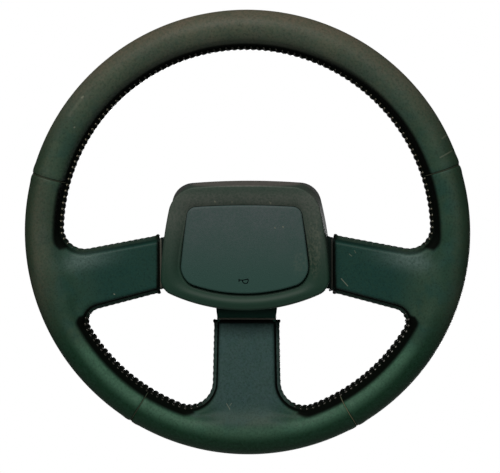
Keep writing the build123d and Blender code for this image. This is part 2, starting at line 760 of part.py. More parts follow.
with BuildPart() as stem_retainers:
    with BuildSketch(level(retainer_rear)):
        with Locations(*STEM_PLACES):
            Circle(RETAINER_DIAMETER / 2)
            Circle(STEM_DIAMETER / 2 + FIT, mode=Mode.SUBTRACT)
    extrude(amount=RETAINER_THICKNESS)

with BuildPart() as moving_contact:
    with BuildSketch(level(moving_strip_rear)):
        with Locations((0, CONTACT_HEIGHT)):
            Rectangle(STRIP_LENGTH, STRIP_WIDTH)
    extrude(amount=STRIP_THICKNESS)
    with BuildSketch(level(moving_tip)):
        with Locations(*rivet_places):
            Circle(RIVET_DIAMETER / 2)
    extrude(amount=RIVET_HEIGHT)

# Springs round the stems, between the contact base and the button
coil_radius = (SPRING_DIAMETER - SPRING_WIRE) / 2
coil_height = BUTTON_BACK_LEVEL - BASE_LEVEL - SPRING_WIRE - 2 * FIT
with BuildPart() as spring:
    with BuildLine() as coil:
        Helix(coil_height / SPRING_TURNS, coil_height, coil_radius)
    with BuildSketch(Plane(coil.line @ 0, z_dir=coil.line % 0)):
        RegularPolygon(SPRING_WIRE / 2, 6)
    sweep(is_frenet=True)
spring_seat = BASE_LEVEL + SPRING_WIRE / 2 + FIT
with BuildPart() as horn_springs:
    for place in STEM_PLACES:
        with Locations(Plane((place[0], -spring_seat, place[1]), (1, 0, 0), (0, -1, 0))):
            add(spring.part)

# Contact base: a plate across the pad, screwed to its bosses
base_inset = PAD_WALL + (BASE_LEVEL - PAD_REAR_LEVEL) * tan(radians(PAD_DRAFT)) + CLEARANCE
base_block = PAD.block(level(BASE_REAR_LEVEL), -base_inset, BASE_THICKNESS)
with BuildPart() as contact_base:
    add(base_block)
    with BuildSketch(level(BASE_REAR_LEVEL)):
        with Locations(*STEM_PLACES):
            Circle(STEM_DIAMETER / 2 + RUNNING_GAP)
        with Locations(*POST_PLACES):
            Circle(POST_RADIUS + CLEARANCE)
        with Locations(*BASE_SCREW_PLACES):
            Circle(BASE_SCREW_DIAMETER / 2 + FIT)
        with Locations((0, BLADE_HEIGHT)):
            Rectangle(BLADE_WIDTH + 2 * FIT, STRIP_THICKNESS + 2 * FIT)
    extrude(amount=BASE_THICKNESS, mode=Mode.SUBTRACT)

with BuildPart() as fixed_contact:
    leg_length = BLADE_HEIGHT + STRIP_THICKNESS / 2 - CONTACT_HEIGHT
    with BuildSketch(level(BASE_LEVEL)):
        with Locations((0, CONTACT_HEIGHT)):
            Rectangle(STRIP_LENGTH, STRIP_WIDTH)
            Rectangle(BLADE_WIDTH, leg_length, align=(Align.CENTER, Align.MIN))
    extrude(amount=STRIP_THICKNESS)
    with BuildSketch(level(fixed_strip_top)):
        with Locations(*rivet_places):
            Circle(RIVET_DIAMETER / 2)
    extrude(amount=RIVET_HEIGHT)
    with BuildSketch(level(BASE_REAR_LEVEL - BLADE_LENGTH)):
        with Locations((0, BLADE_HEIGHT)):
            Rectangle(BLADE_WIDTH, STRIP_THICKNESS)
    extrude(amount=BASE_THICKNESS + BLADE_LENGTH)

with BuildPart() as base_screws:
    with BuildSketch(level(BASE_REAR_LEVEL - BASE_SCREW_HEAD_HEIGHT)):
        with Locations(*BASE_SCREW_PLACES):
            Circle(BASE_SCREW_HEAD / 2)
    extrude(amount=BASE_SCREW_HEAD_HEIGHT)
    with BuildSketch(level(BASE_REAR_LEVEL)):
        with Locations(*BASE_SCREW_PLACES):
            Circle(BASE_SCREW_DIAMETER / 2)
    extrude(amount=BASE_THICKNESS + BASE_SCREW_GRIP)

# Rear cover: a sloping bowl behind the pad, with posts that reach the carrier
cover_depth = COVER_FRONT_LEVEL - COVER_REAR_LEVEL
screw_seat = PLATE_REAR - PAD_SCREW_SEAT
cover_block = PAD.block(facing_back(COVER_FRONT_LEVEL), 0, cover_depth, COVER_SLOPE)
cover_hollow = PAD.block(facing_back(COVER_FRONT_LEVEL), -COVER_WALL, cover_depth - COVER_WALL, COVER_SLOPE)
with BuildPart() as cover_cavity:
    add(cover_hollow)
    with BuildSketch(level(COVER_REAR_LEVEL)):
        with Locations(*POST_PLACES):
            Circle(PAD_SCREW_HEAD / 2 + CLEARANCE + COVER_WALL)
    extrude(amount=cover_depth, mode=Mode.SUBTRACT)
with BuildPart() as rear_cover:
    add(cover_block)
    add(cover_cavity.part, mode=Mode.SUBTRACT)
    with BuildSketch(level(screw_seat)):
        with Locations(*POST_PLACES):
            Circle(POST_RADIUS)
    extrude(amount=PAD_SCREW_SEAT)
    with BuildSketch(level(COVER_REAR_LEVEL)):
        Circle(RING_CARRIER_RADIUS + CLEARANCE)
        with Locations(*POST_PLACES):
            Circle(PAD_SCREW_HEAD / 2 + CLEARANCE)
    extrude(amount=screw_seat - COVER_REAR_LEVEL, mode=Mode.SUBTRACT)
    with BuildSketch(level(screw_seat)):
        with Locations(*POST_PLACES):
            Circle(PAD_SCREW_DIAMETER / 2 + CLEARANCE)
    extrude(amount=PAD_SCREW_SEAT, mode=Mode.SUBTRACT)

with BuildPart() as pad_screws:
    with BuildSketch(level(screw_seat - PAD_SCREW_HEAD_HEIGHT)):
        with Locations(*POST_PLACES):
            Circle(PAD_SCREW_HEAD / 2)
    extrude(amount=PAD_SCREW_HEAD_HEIGHT)
    with BuildSketch(level(screw_seat)):
        with Locations(*POST_PLACES):
            Circle(PAD_SCREW_DIAMETER / 2)
    extrude(amount=PAD_SCREW_SEAT + SHEET + PAD_SCREW_GRIP)

# Slip ring on its carrier, which sits on the boss and carries the indicator's cancelling cams
track_radius = (RING_INNER_RADIUS + RING_OUTER_RADIUS) / 2
ring_rear = RING_CARRIER_LEVEL - RING_PROUD
ring_front = ring_rear + RING_THICKNESS
carrier_front = RING_CARRIER_LEVEL + RING_CARRIER_DISC
sleeve_front = PLATE_REAR - BOSS_FLANGE
with BuildPart() as slip_ring_carrier:
    with BuildSketch(level(RING_CARRIER_LEVEL)):
        Circle(RING_CARRIER_RADIUS)
    extrude(amount=RING_CARRIER_DISC)
    with BuildSketch(level(RING_CARRIER_LEVEL)):
        Circle(BOSS_RADIUS + RING_CARRIER_SLEEVE)
    extrude(amount=sleeve_front - RING_CARRIER_LEVEL)
    with BuildSketch(level(RING_CARRIER_LEVEL)):
        Circle(BOSS_RADIUS + FIT)
    extrude(amount=sleeve_front - RING_CARRIER_LEVEL, mode=Mode.SUBTRACT)
    with BuildSketch(level(RING_CARRIER_LEVEL)):
        Circle(RING_OUTER_RADIUS + FIT)
        Circle(RING_INNER_RADIUS - FIT, mode=Mode.SUBTRACT)
    extrude(amount=RING_THICKNESS - RING_PROUD, mode=Mode.SUBTRACT)
    with BuildSketch(level(RING_CARRIER_LEVEL)):
        with Locations((0, track_radius)):
            Rectangle(BLADE_WIDTH + 2 * FIT, STRIP_THICKNESS + 2 * FIT)
    extrude(amount=RING_CARRIER_DISC, mode=Mode.SUBTRACT)
    with BuildSketch(level(RING_CARRIER_LEVEL - CAM_HEIGHT)):
        with PolarLocations((BOSS_RADIUS + RING_INNER_RADIUS) / 2, 2):
            Rectangle(CAM_THICKNESS, CAM_LENGTH)
    extrude(amount=CAM_HEIGHT)

with BuildPart() as slip_ring:
    with BuildSketch(level(ring_rear)):
        Circle(RING_OUTER_RADIUS)
        Circle(RING_INNER_RADIUS, mode=Mode.SUBTRACT)
    extrude(amount=RING_THICKNESS)
    with BuildSketch(level(ring_front)):
        with Locations((0, track_radius)):
            Rectangle(BLADE_WIDTH, STRIP_THICKNESS)
    extrude(amount=carrier_front + BLADE_LENGTH - ring_front)

# Horn lead from the slip ring's blade, through the carrier, to the fixed contact's blade
first_terminal = carrier_front + RUNNING_GAP
last_terminal = BASE_REAR_LEVEL - RUNNING_GAP - TERMINAL_LENGTH
lead_start = first_terminal + TERMINAL_LENGTH
lead_rise = (last_terminal - lead_start) / 3
with BuildPart() as horn_lead:
    with BuildLine() as lead_path:
        FilletPolyline(
            (0, -lead_start, track_radius),
            (0, -lead_start - lead_rise, track_radius),
            (0, -last_terminal + lead_rise, BLADE_HEIGHT),
            (0, -last_terminal, BLADE_HEIGHT),
            radius=LEAD_BEND,
        )
    with BuildSketch(level(lead_start)):
        with Locations((0, track_radius)):
            Circle(LEAD_DIAMETER / 2)
    sweep()

blade_start = last_terminal + TERMINAL_LENGTH - BLADE_LENGTH
terminal_seats = ((track_radius, first_terminal, first_terminal), (BLADE_HEIGHT, last_terminal, blade_start))
with BuildPart() as lead_terminals:
    for height, rear, slot_rear in terminal_seats:
        with BuildSketch(level(rear)):
            with Locations((0, height)):
                Rectangle(BLADE_WIDTH + 2 * TERMINAL_WALL, STRIP_THICKNESS + 2 * TERMINAL_WALL)
        extrude(amount=TERMINAL_LENGTH)
        with BuildSketch(level(slot_rear)):
            with Locations((0, height)):
                Rectangle(BLADE_WIDTH + 2 * FIT, STRIP_THICKNESS + 2 * FIT)
        extrude(amount=BLADE_LENGTH, mode=Mode.SUBTRACT)

pieces = {
    "rim_core": rim_core,
    "spoke_carrier": spoke_carrier,
    "hub_boss": hub_boss,
    "grip_foam": grip_foam,
    "leather_top": leather_top,
    "leather_left": leather_left,
    "leather_right": leather_right,
    "leather_bottom": leather_bottom,
    "lacing_top": lacing_top,
    "lacing_lower_left": lacing_lower_left,
    "lacing_lower_right": lacing_lower_right,
    "pad_surround": pad_surround,
    "horn_button": horn_button,
    "stem_retainers": stem_retainers,
    "moving_contact": moving_contact,
    "horn_springs": horn_springs,
    "contact_base": contact_base,
    "fixed_contact": fixed_contact,
    "base_screws": base_screws,
    "rear_cover": rear_cover,
    "pad_screws": pad_screws,
    "slip_ring_carrier": slip_ring_carrier,
    "slip_ring": slip_ring,
    "horn_lead": horn_lead,
    "lead_terminals": lead_terminals,
}
os.makedirs("parts", exist_ok=True)
for name, piece in pieces.items():
    piece.part.label = name
    export_step(piece.part, f"parts/{name}.step")
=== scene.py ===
import logging
from dataclasses import dataclass, field
from enum import Enum

import bpy
import numpy as np
from mathutils import Matrix, Vector


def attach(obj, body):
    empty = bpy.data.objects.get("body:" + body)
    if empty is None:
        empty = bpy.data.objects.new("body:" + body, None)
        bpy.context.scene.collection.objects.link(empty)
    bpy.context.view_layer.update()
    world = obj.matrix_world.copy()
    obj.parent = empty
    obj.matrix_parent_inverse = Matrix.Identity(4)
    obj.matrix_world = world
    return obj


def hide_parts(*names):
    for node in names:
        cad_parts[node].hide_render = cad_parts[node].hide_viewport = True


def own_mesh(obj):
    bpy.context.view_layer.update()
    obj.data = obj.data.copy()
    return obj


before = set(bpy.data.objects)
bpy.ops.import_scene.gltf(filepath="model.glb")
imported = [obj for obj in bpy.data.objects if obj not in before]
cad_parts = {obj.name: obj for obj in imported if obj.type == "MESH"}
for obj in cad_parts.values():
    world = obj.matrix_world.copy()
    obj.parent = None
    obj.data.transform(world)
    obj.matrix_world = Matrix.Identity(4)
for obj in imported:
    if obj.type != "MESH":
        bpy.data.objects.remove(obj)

log = logging.getLogger("steering_wheel")

# Lengths are in millimetres in the row frame and angles in degrees, until a mesh is made.
# A level is a distance from the back of the boss towards the driver, so Y is minus the level.
MILLIMETRE = 0.001
Colour = tuple[float, float, float]
Place = tuple[float, float, float]

# Rim and leather, as in the part's source
GRIP_CENTRE = 174.6
GRIP_RADIUS = 15.4
GRIP_INNER = GRIP_CENTRE - GRIP_RADIUS
RIM_LEVEL = 50.0
HUB_LEVEL = 34.0
PLATE_RADIUS = 39.0
CROSS_SEAMS = (18.2, 163.6, 238.0, 300.2)
SEAM_GAP = 0.3
STITCH_PITCH = 5.3

# Spokes, as in the part's source
SPOKE_HALF_THICKNESS = 7.5
SPOKE_BEVEL = 22.0
SIDE_SPOKE_END = 75.0
SIDE_UPPER_HEIGHT = -3.3
SIDE_UPPER_FALL = 10.1
SIDE_UPPER_CORNER = 20.5
SIDE_LOWER_HEIGHT = -48.2
SIDE_LOWER_FALL = 14.0
SIDE_LOWER_CORNER = 13.5
BOTTOM_SPOKE_END = 74.4
BOTTOM_HALF_WIDTH = 25.8
BOTTOM_FLARE = 1.2
BOTTOM_CORNER = 22.8

# Thread sizes as (radius, swing) of each window, how rubbed the cross seams are, and how lit the welts are
# painted
LACE_SIZES = {"top": (0.8, 1.1), "lower_left": (1.1, 1.8), "lower_right": (1.1, 1.8)}
SEAMS_RUBBED = (0.12, 0.12, 0.15, 0.6)
WELTS_LIT = (0.1, 0.5, 0.8)

# Soft forms of the leather, where the source has plain ones
FACE_BLEND = 17.0
FACE_DEPTHS = (-1.0, -24.0)
FACE_RUN = (10.0, -16.0)
EDGE_BLEND = 3.5
LEAST_BLEND = 0.3
FACE_EDGE = 2.0
ROOT_EDGE = 4.0
ROOT_RUN = 34.0
CORNER_REACH = 1.3
CORNER_SINK = (0.5, 1.25)
CORNER_FADE = (1.25, 0.2)
FLANK_ANGLE = 24.0
FLANK_CUT = 0.85
FLANK_EDGE = 0.8
SEAM_GROOVE = 0.9
SEAM_GROOVE_WIDTH = 0.8
SEAM_SWELL = 0.35
SEAM_SWELL_PLACE = 4.0
SEAM_SWELL_WIDTH = 3.0

# Leather painted black beside the lips, as painted shade in the flanks and as unworn black: widths from the
# window, and where they fade
TOP_BLACK = 2.6
RIM_BLACK = 4.8
RIGHT_BLACK = 0.6
SPOKE_BLACK = 2.4
SPOKE_BLACK_FADE = 0.8
TOP_BLACK_FADE = 2.4
RIM_BLACK_FADE = 1.6
BLACK_STOPS = (0.15, 0.15, 0.6)
BLACK_STOP_CUT = 9.0
BLACK_STOP_BEFORE = 0.8
BLACK_STOP_AFTER = 0.2
BLACK_RIGHT_ANGLES = (8.0, 62.0)
BLACK_LEFT_ANGLES = (-70.0, -77.0)
BLACK_RIGHT_RUN = (0.0, 40.0)
END_BLACK = (2.4, 1.2)
SPOKE_MARGIN = 2.0
SPOKE_TURN = (0.6, -0.1)
SPOKE_LIP_LIGHT = 0.5
SPOKE_LIP_HEIGHTS = (-40.0, -30.0)
FAR_OFF = 99.0

# Painted highlight in the hollow where a side spoke runs into the rim
SHEEN_PLACE = (143.0, -22.0)
SHEEN_INWARD = 26.0
SHEEN_OUTWARD = 13.0
SHEEN_HALF_WIDTH = 7.5

# Pad and panel
PAD_REAR_LEVEL = 32.0
PAD_FRONT_LEVEL = 72.0
PAD_DRAFT = 3.5
PANEL_FRONT_LEVEL = 72.5
SIGN_HEIGHT = 0.12
PANEL_FACE_LEVEL = PANEL_FRONT_LEVEL - SIGN_HEIGHT
PANEL_GAP = 0.6
SHIELD_CENTRE = (0.0, -10.0)
SHIELD_REACH = 120.0
HALVINGS = 40

# Camera, as fitted to the photograph
CAMERA_DISTANCE = 1084.0
CAMERA_YAW = 3.03
CAMERA_ELEVATION = 4.61
CAMERA_ROLL = -0.33
CAMERA_TARGET = (0.0, -50.0, 0.0)
CAMERA_FOCAL = 91.5
CAMERA_SENSOR = 36.0
CAMERA_SHIFT = (0.0087, -0.0032)


def smoothstep(low: float, high: float, value: np.ndarray) -> np.ndarray:
    """A soft step from 0 to 1.

    Args:
        low: where the step starts.
        high: where it ends; it may lie below low.
        value: what is stepped.

    Returns:
        The step, three t squared less two t cubed.
    """
    share = np.clip((value - low) / (high - low), 0, 1)
    return share * share * (3 - 2 * share)


def soft_max(first: np.ndarray, second: np.ndarray, room: np.ndarray | float) -> np.ndarray:
    """The larger of two fields with a rounded ridge where they meet.

    Args:
        first: one field.
        second: the other field.
        room: how far apart the fields are where the rounding starts.

    Returns:
        The rounded maximum.
    """
    near = np.maximum(room - np.abs(first - second), 0) / room
    return np.maximum(first, second) + near * near * room / 4


def round_cut(first: np.ndarray, second: np.ndarray, radius: np.ndarray | float) -> np.ndarray:
    """What two distance fields have in common, with a round outer corner.

    Args:
        first: one distance field.
        second: the other.
        radius: the corner's radius.

    Returns:
        The field of the common body.
    """
    corner = np.hypot(np.maximum(first + radius, 0), np.maximum(second + radius, 0))
    return np.minimum(-radius, np.maximum(first, second)) + corner


def unit(vectors: np.ndarray) -> np.ndarray:
    """Vectors made one long.

    Args:
        vectors: an array whose last axis holds the components.

    Returns:
        The unit vectors.
    """
    return vectors / np.linalg.norm(vectors, axis=-1, keepdims=True)


def between(first: np.ndarray | float, last: np.ndarray | float, share: np.ndarray) -> np.ndarray:
    """A value part of the way from one to another.

    Args:
        first: the value at a share of 0.
        last: the value at a share of 1.
        share: how far along.

    Returns:
        The values.
    """
    return first + (last - first) * share


def bell(value: np.ndarray, width: float) -> np.ndarray:
    """A bell that is 1 at 0.

    Args:
        value: the distances from its middle.
        width: where it has fallen to about a third.

    Returns:
        e to the minus square of value over width.
    """
    return np.exp(-((value / width) ** 2))


def circle(radius: float, sides: int = 8) -> np.ndarray:
    """Points on a circle, as the section of a tube.

    Args:
        radius: its radius.
        sides: how many points.

    Returns:
        Plane points.
    """
    turn = np.linspace(0, 2 * np.pi, sides, endpoint=False)
    return radius * np.stack([np.cos(turn), np.sin(turn)], 1)


def polyline(corners: np.ndarray, count: int) -> np.ndarray:
    """Points on the straight runs between corners, shared evenly among the runs.

    Args:
        corners: the corners, in rows.
        count: how many points.

    Returns:
        The points, in rows.
    """
    share = np.linspace(0, len(corners) - 1, count)
    return np.stack([np.interp(share, np.arange(len(corners)), column) for column in corners.T], 1)


def heading(angle: float) -> np.ndarray:
    """The plan direction at an angle.

    Args:
        angle: degrees from +X towards +Z.

    Returns:
        A unit vector in plan.
    """
    return np.array([np.cos(np.radians(angle)), np.sin(np.radians(angle))])


@dataclass(frozen=True)
class SpokeSide:
    """One long side of a spoke in plan, with the corner that leads it into the rim."""

    start: tuple[float, float]
    angle: float
    window: int
    corner: float

    def mirrored(self) -> "SpokeSide":
        """The same side on the other half of the wheel.

        Returns:
            The mirrored side.
        """
        return SpokeSide((-self.start[0], self.start[1]), 180 - self.angle, -self.window, self.corner)

    def along(self) -> np.ndarray:
        """The side's direction.

        Returns:
            A unit vector in plan, from the pad to the rim.
        """
        return heading(self.angle)

    def outward(self) -> np.ndarray:
        """The direction out of the spoke.

        Returns:
            A unit vector in plan, into the window.
        """
        return heading(self.angle + 90 * self.window)

    def corner_centre(self) -> np.ndarray:
        """The centre of the corner, one radius from the side and one from the rim.

        Returns:
            A plan point.
        """
        moved = np.array(self.start) + self.outward() * self.corner
        reach = GRIP_INNER - self.corner
        projected = moved @ self.along()
        travel = -projected + np.sqrt(projected**2 - moved @ moved + reach**2)
        return moved + self.along() * travel

    def touch(self) -> np.ndarray:
        """Where the corner meets the rim.

        Returns:
            A plan point.
        """
        centre = self.corner_centre()
        return centre * GRIP_INNER / np.linalg.norm(centre)

    def touch_angle(self) -> float:
        """The angle round the wheel where the corner meets the rim.

        Returns:
            Degrees from +X.
        """
        touch = self.touch()
        return float(np.degrees(np.arctan2(touch[1], touch[0])))

    def window_depth(self, outside: np.ndarray, x: np.ndarray, z: np.ndarray) -> np.ndarray:
        """How far plan points lie inside the window that the side bounds.

        Between the two touching points it is measured from the corner's arc, and elsewhere from the side
        or the rim, whichever is nearer.

        Args:
            outside: how far the points lie outside the side.
            x: X of the points.
            z: Z of the points.

        Returns:
            The depths, negative in the leather.
        """
        centre = self.corner_centre()
        first = -self.outward()
        last = unit(centre)
        turn = first[0] * last[1] - first[1] * last[0]
        from_x = x - centre[0]
        from_z = z - centre[1]
        to_first = (from_x * last[1] - from_z * last[0]) / turn
        to_last = (first[0] * from_z - first[1] * from_x) / turn
        plain = np.minimum(outside, GRIP_INNER - np.hypot(x, z))
        return np.where((to_first > 0) & (to_last > 0), self.corner - np.hypot(from_x, from_z), plain)

    def run(self, step: float) -> tuple[np.ndarray, np.ndarray]:
        """Points along the side and round its corner to the rim.

        Args:
            step: the distance between points.

        Returns:
            Plan points, and the directions into the window at them.
        """
        start = np.array(self.start)
        centre = self.corner_centre()
        straight_end = centre - self.outward() * self.corner
        length = np.linalg.norm(straight_end - start)
        shares = np.linspace(0, 1, max(2, int(length / step)), endpoint=False)[:, None]
        straight = start + (straight_end - start) * shares
        first = np.arctan2(*(straight_end - centre)[::-1])
        last = np.arctan2(*(self.touch() - centre)[::-1])
        turn = (last - first + np.pi) % (2 * np.pi) - np.pi
        turns = first + turn * np.linspace(0, 1, max(2, int(abs(turn) * self.corner / step)))
        spread = np.stack([np.cos(turns), np.sin(turns)], 1)
        points = np.concatenate([straight, centre + self.corner * spread])
        inward = np.concatenate([np.broadcast_to(self.outward(), straight.shape), -spread])
        return points, inward


@dataclass(frozen=True)
class Spoke:
    """A spoke between two sides, lying in a plane that falls back from the rim to the hub."""

    first: SpokeSide
    second: SpokeSide

    def middle(self) -> np.ndarray:
        """The plan point between the two corners on the rim.

        Returns:
            A plan point.
        """
        return (self.first.touch() + self.second.touch()) / 2

    def inward(self) -> np.ndarray:
        """The plan direction from the rim to the hub.

        Returns:
            A unit vector in plan.
        """
        return -unit(self.middle())

    def slope(self) -> float:
        """How far the spoke falls back for each millimetre towards the hub.

        Returns:
            The slope.
        """
        return (RIM_LEVEL - HUB_LEVEL) / (np.linalg.norm(self.middle()) - PLATE_RADIUS)

    def lifted(self, points: np.ndarray) -> np.ndarray:
        """Plan points set on the spoke's plane.

        Args:
            points: plan points.

        Returns:
            Points in the row frame.
        """
        level = RIM_LEVEL - self.slope() * ((points - self.middle()) @ self.inward())
        return np.stack([points[:, 0], -level, points[:, 1]], 1)

    def local(self, x: np.ndarray, y: np.ndarray, z: np.ndarray) -> tuple[np.ndarray, np.ndarray, np.ndarray]:
        """Coordinates in the spoke's plane.

        Args:
            x: X of the points.
            y: Y of the points.
            z: Z of the points.

        Returns:
            The distances across, along (towards the hub) and above the plane.
        """
        inward = self.inward()
        stretch = np.hypot(1, self.slope())
        across_plan = np.array([inward[1], -inward[0]])
        plan_x = x - self.middle()[0]
        plan_z = z - self.middle()[1]
        rise = -y - RIM_LEVEL
        across = plan_x * across_plan[0] + plan_z * across_plan[1]
        towards = plan_x * inward[0] + plan_z * inward[1]
        return across, (towards - self.slope() * rise) / stretch, (self.slope() * towards + rise) / stretch

    def placed(self, point: np.ndarray) -> np.ndarray:
        """A plan point's place in the spoke's plane.

        Args:
            point: a plan point.

        Returns:
            Its distances across and along.
        """
        lifted = self.lifted(np.asarray(point, float)[None])[0]
        across, along, _ = self.local(*lifted)
        return np.array([across, along])

    def side_distances(self, across: np.ndarray, along: np.ndarray) -> list[np.ndarray]:
        """How far points in the spoke's plane lie outside its two sides and its end.

        Args:
            across: distances across.
            along: distances along.

        Returns:
            The distances outside the first side, the second side and the pad end.
        """
        starts = [self.placed(side.start) for side in (self.first, self.second)]
        lines = [
            (starts[0], self.placed(np.array(self.first.start) + self.first.along()) - starts[0]),
            (starts[1], self.placed(np.array(self.second.start) + self.second.along()) - starts[1]),
            (starts[0], starts[1] - starts[0]),
        ]
        inside = self.placed(self.middle()) * 0.5 + (starts[0] + starts[1]) * 0.25
        found = []
        for start, run in lines:
            normal = unit(np.array([run[1], -run[0]]))
            if (inside - start) @ normal > 0:
                normal = -normal
            found.append((across - start[0]) * normal[0] + (along - start[1]) * normal[1])
        return found

    def web(self, x: np.ndarray, y: np.ndarray, z: np.ndarray) -> tuple[np.ndarray, ...]:
        """The spoke's outline in plan, with the corners that lead it into the rim.

        Args:
            x: X of the points.
            y: Y of the points.
            z: Z of the points.

        Returns:
            The distances outside the outline, outside the pad end and above the spoke's plane, and how far
            the points lie round the corners, from 0 at the sides to 1 at the rim.
        """
        across, along, above = self.local(x, y, z)
        first, second, end = self.side_distances(across, along)
        inward = self.inward()
        towards = along / np.hypot(1, self.slope())
        foot_x = self.middle()[0] + across * inward[1] + towards * inward[0]
        foot_z = self.middle()[1] - across * inward[0] + towards * inward[1]
        outline = np.maximum(
            self.first.window_depth(first, foot_x, foot_z), self.second.window_depth(second, foot_x, foot_z)
        )
        reach = np.maximum(
            first - CORNER_REACH * self.first.corner, second - CORNER_REACH * self.second.corner
        )
        round_corner = np.maximum(first / self.first.corner, second / self.second.corner)
        return np.maximum(outline, reach), end, above, round_corner

    def slab(self, x: np.ndarray, y: np.ndarray, z: np.ndarray) -> tuple[np.ndarray, np.ndarray]:
        """The spoke's distance field and how softly it joins the rim.

        The spoke is the space between two faces, within the bevelled outline, its end and the rim's middle.

        Args:
            x: X of the points.
            y: Y of the points.
            z: Z of the points.

        Returns:
            The field, and the reach of the join at each point.
        """
        outline, end, above, round_corner = self.web(x, y, z)
        outline = outline + FLANK_CUT * smoothstep(*CORNER_SINK, round_corner)
        bevel = np.radians(SPOKE_BEVEL)
        side = (outline + np.abs(above) * np.tan(bevel)) * np.cos(bevel)
        root = smoothstep(GRIP_INNER - ROOT_RUN, GRIP_INNER, np.hypot(x, z))
        edge = between(FACE_EDGE, ROOT_EDGE, root)
        body = soft_max(side, np.abs(above) - SPOKE_HALF_THICKNESS, edge)
        body = soft_max(body, end, FACE_EDGE)
        beyond = np.hypot(x, z) - GRIP_CENTRE
        face = smoothstep(*FACE_DEPTHS, outline) * smoothstep(*FACE_RUN, beyond)
        reach = between(EDGE_BLEND, FACE_BLEND, face)
        reach = between(LEAST_BLEND, reach, smoothstep(*CORNER_FADE, round_corner))
        return np.maximum(body, beyond), reach


RIGHT_UPPER = SpokeSide((SIDE_SPOKE_END, SIDE_UPPER_HEIGHT), -SIDE_UPPER_FALL, 1, SIDE_UPPER_CORNER)
RIGHT_LOWER = SpokeSide((SIDE_SPOKE_END, SIDE_LOWER_HEIGHT), -SIDE_LOWER_FALL, -1, SIDE_LOWER_CORNER)
BOTTOM_RIGHT = SpokeSide((BOTTOM_HALF_WIDTH, -BOTTOM_SPOKE_END), BOTTOM_FLARE - 90, 1, BOTTOM_CORNER)
RIGHT_SPOKE = Spoke(RIGHT_UPPER, RIGHT_LOWER)
LEFT_SPOKE = Spoke(RIGHT_UPPER.mirrored(), RIGHT_LOWER.mirrored())
BOTTOM_SPOKE = Spoke(BOTTOM_RIGHT, BOTTOM_RIGHT.mirrored())
SPOKES = (RIGHT_SPOKE, LEFT_SPOKE, BOTTOM_SPOKE)


@dataclass(frozen=True)
class Track:
    """A line in space with two directions at each point: out of the leather and towards the driver."""

    points: np.ndarray
    out: np.ndarray
    front: np.ndarray
    length: np.ndarray

    @staticmethod
    def through(points: np.ndarray, out: np.ndarray) -> "Track":
        """A track through points.

        Args:
            points: the points.
            out: directions that lead out of the leather.

        Returns:
            The track, with its directions square to it.
        """
        along = unit(np.gradient(points, axis=0))
        out = unit(out - along * np.sum(out * along, axis=1, keepdims=True))
        front = np.cross(along, out)
        front = front * np.where(front[:, 1:2] > 0, -1, 1)
        steps = np.linalg.norm(np.diff(points, axis=0), axis=1)
        return Track(points, out, front, np.concatenate([[0], np.cumsum(steps)]))

    def at(self, length: np.ndarray) -> "Track":
        """The track taken at given lengths.

        Args:
            length: distances from its start.

        Returns:
            A track with points there.
        """
        def pick(values: np.ndarray) -> np.ndarray:
            """Values at the lengths, between the track's own points.

            Args:
                values: one row for each point.

            Returns:
                One row for each length.
            """
            return np.stack([np.interp(length, self.length, column) for column in values.T], 1)

        return Track(pick(self.points), unit(pick(self.out)), unit(pick(self.front)), length)

    def placed(self, out: np.ndarray, front: np.ndarray) -> np.ndarray:
        """Points beside the track.

        Args:
            out: distances out of the leather, one row for each point of the track.
            front: distances towards the driver, of the same shape.

        Returns:
            Points in the row frame.
        """
        return (
            self.points[:, None]
            + out[..., None] * self.out[:, None]
            + front[..., None] * self.front[:, None]
        )


@dataclass(frozen=True)
class Window:
    """An opening between two spokes, named after its place."""

    name: str
    first_spoke: Spoke
    first_side: SpokeSide
    last_spoke: Spoke
    last_side: SpokeSide

    def track(self, step: float) -> Track:
        """The line round the window: along one spoke, round the rim and back along the next spoke.

        Args:
            step: the distance between points.

        Returns:
            The line, with directions that point into the window.
        """
        start = self.first_side.touch_angle()
        span = (self.last_side.touch_angle() - start) % 360
        count = int(np.radians(span) * GRIP_INNER / step)
        angles = np.radians(start + span * np.arange(1, count) / count)
        spread = np.stack([np.cos(angles), 0 * angles, np.sin(angles)], 1)
        rim = spread * GRIP_INNER - np.array([0, RIM_LEVEL, 0])
        runs = []
        for spoke, side in ((self.first_spoke, self.first_side), (self.last_spoke, self.last_side)):
            points, out = side.run(step)
            flat = spoke.lifted(points)
            runs.append((flat, spoke.lifted(points + out) - flat))
        points = np.concatenate([runs[0][0], rim, runs[1][0][::-1]])
        out = np.concatenate([runs[0][1], -spread, runs[1][1][::-1]])
        return Track.through(points, out)


WINDOWS = (
    Window("top", RIGHT_SPOKE, RIGHT_SPOKE.first, LEFT_SPOKE, LEFT_SPOKE.first),
    Window("lower_left", LEFT_SPOKE, LEFT_SPOKE.second, BOTTOM_SPOKE, BOTTOM_SPOKE.second),
    Window("lower_right", BOTTOM_SPOKE, BOTTOM_SPOKE.first, RIGHT_SPOKE, RIGHT_SPOKE.second),
)


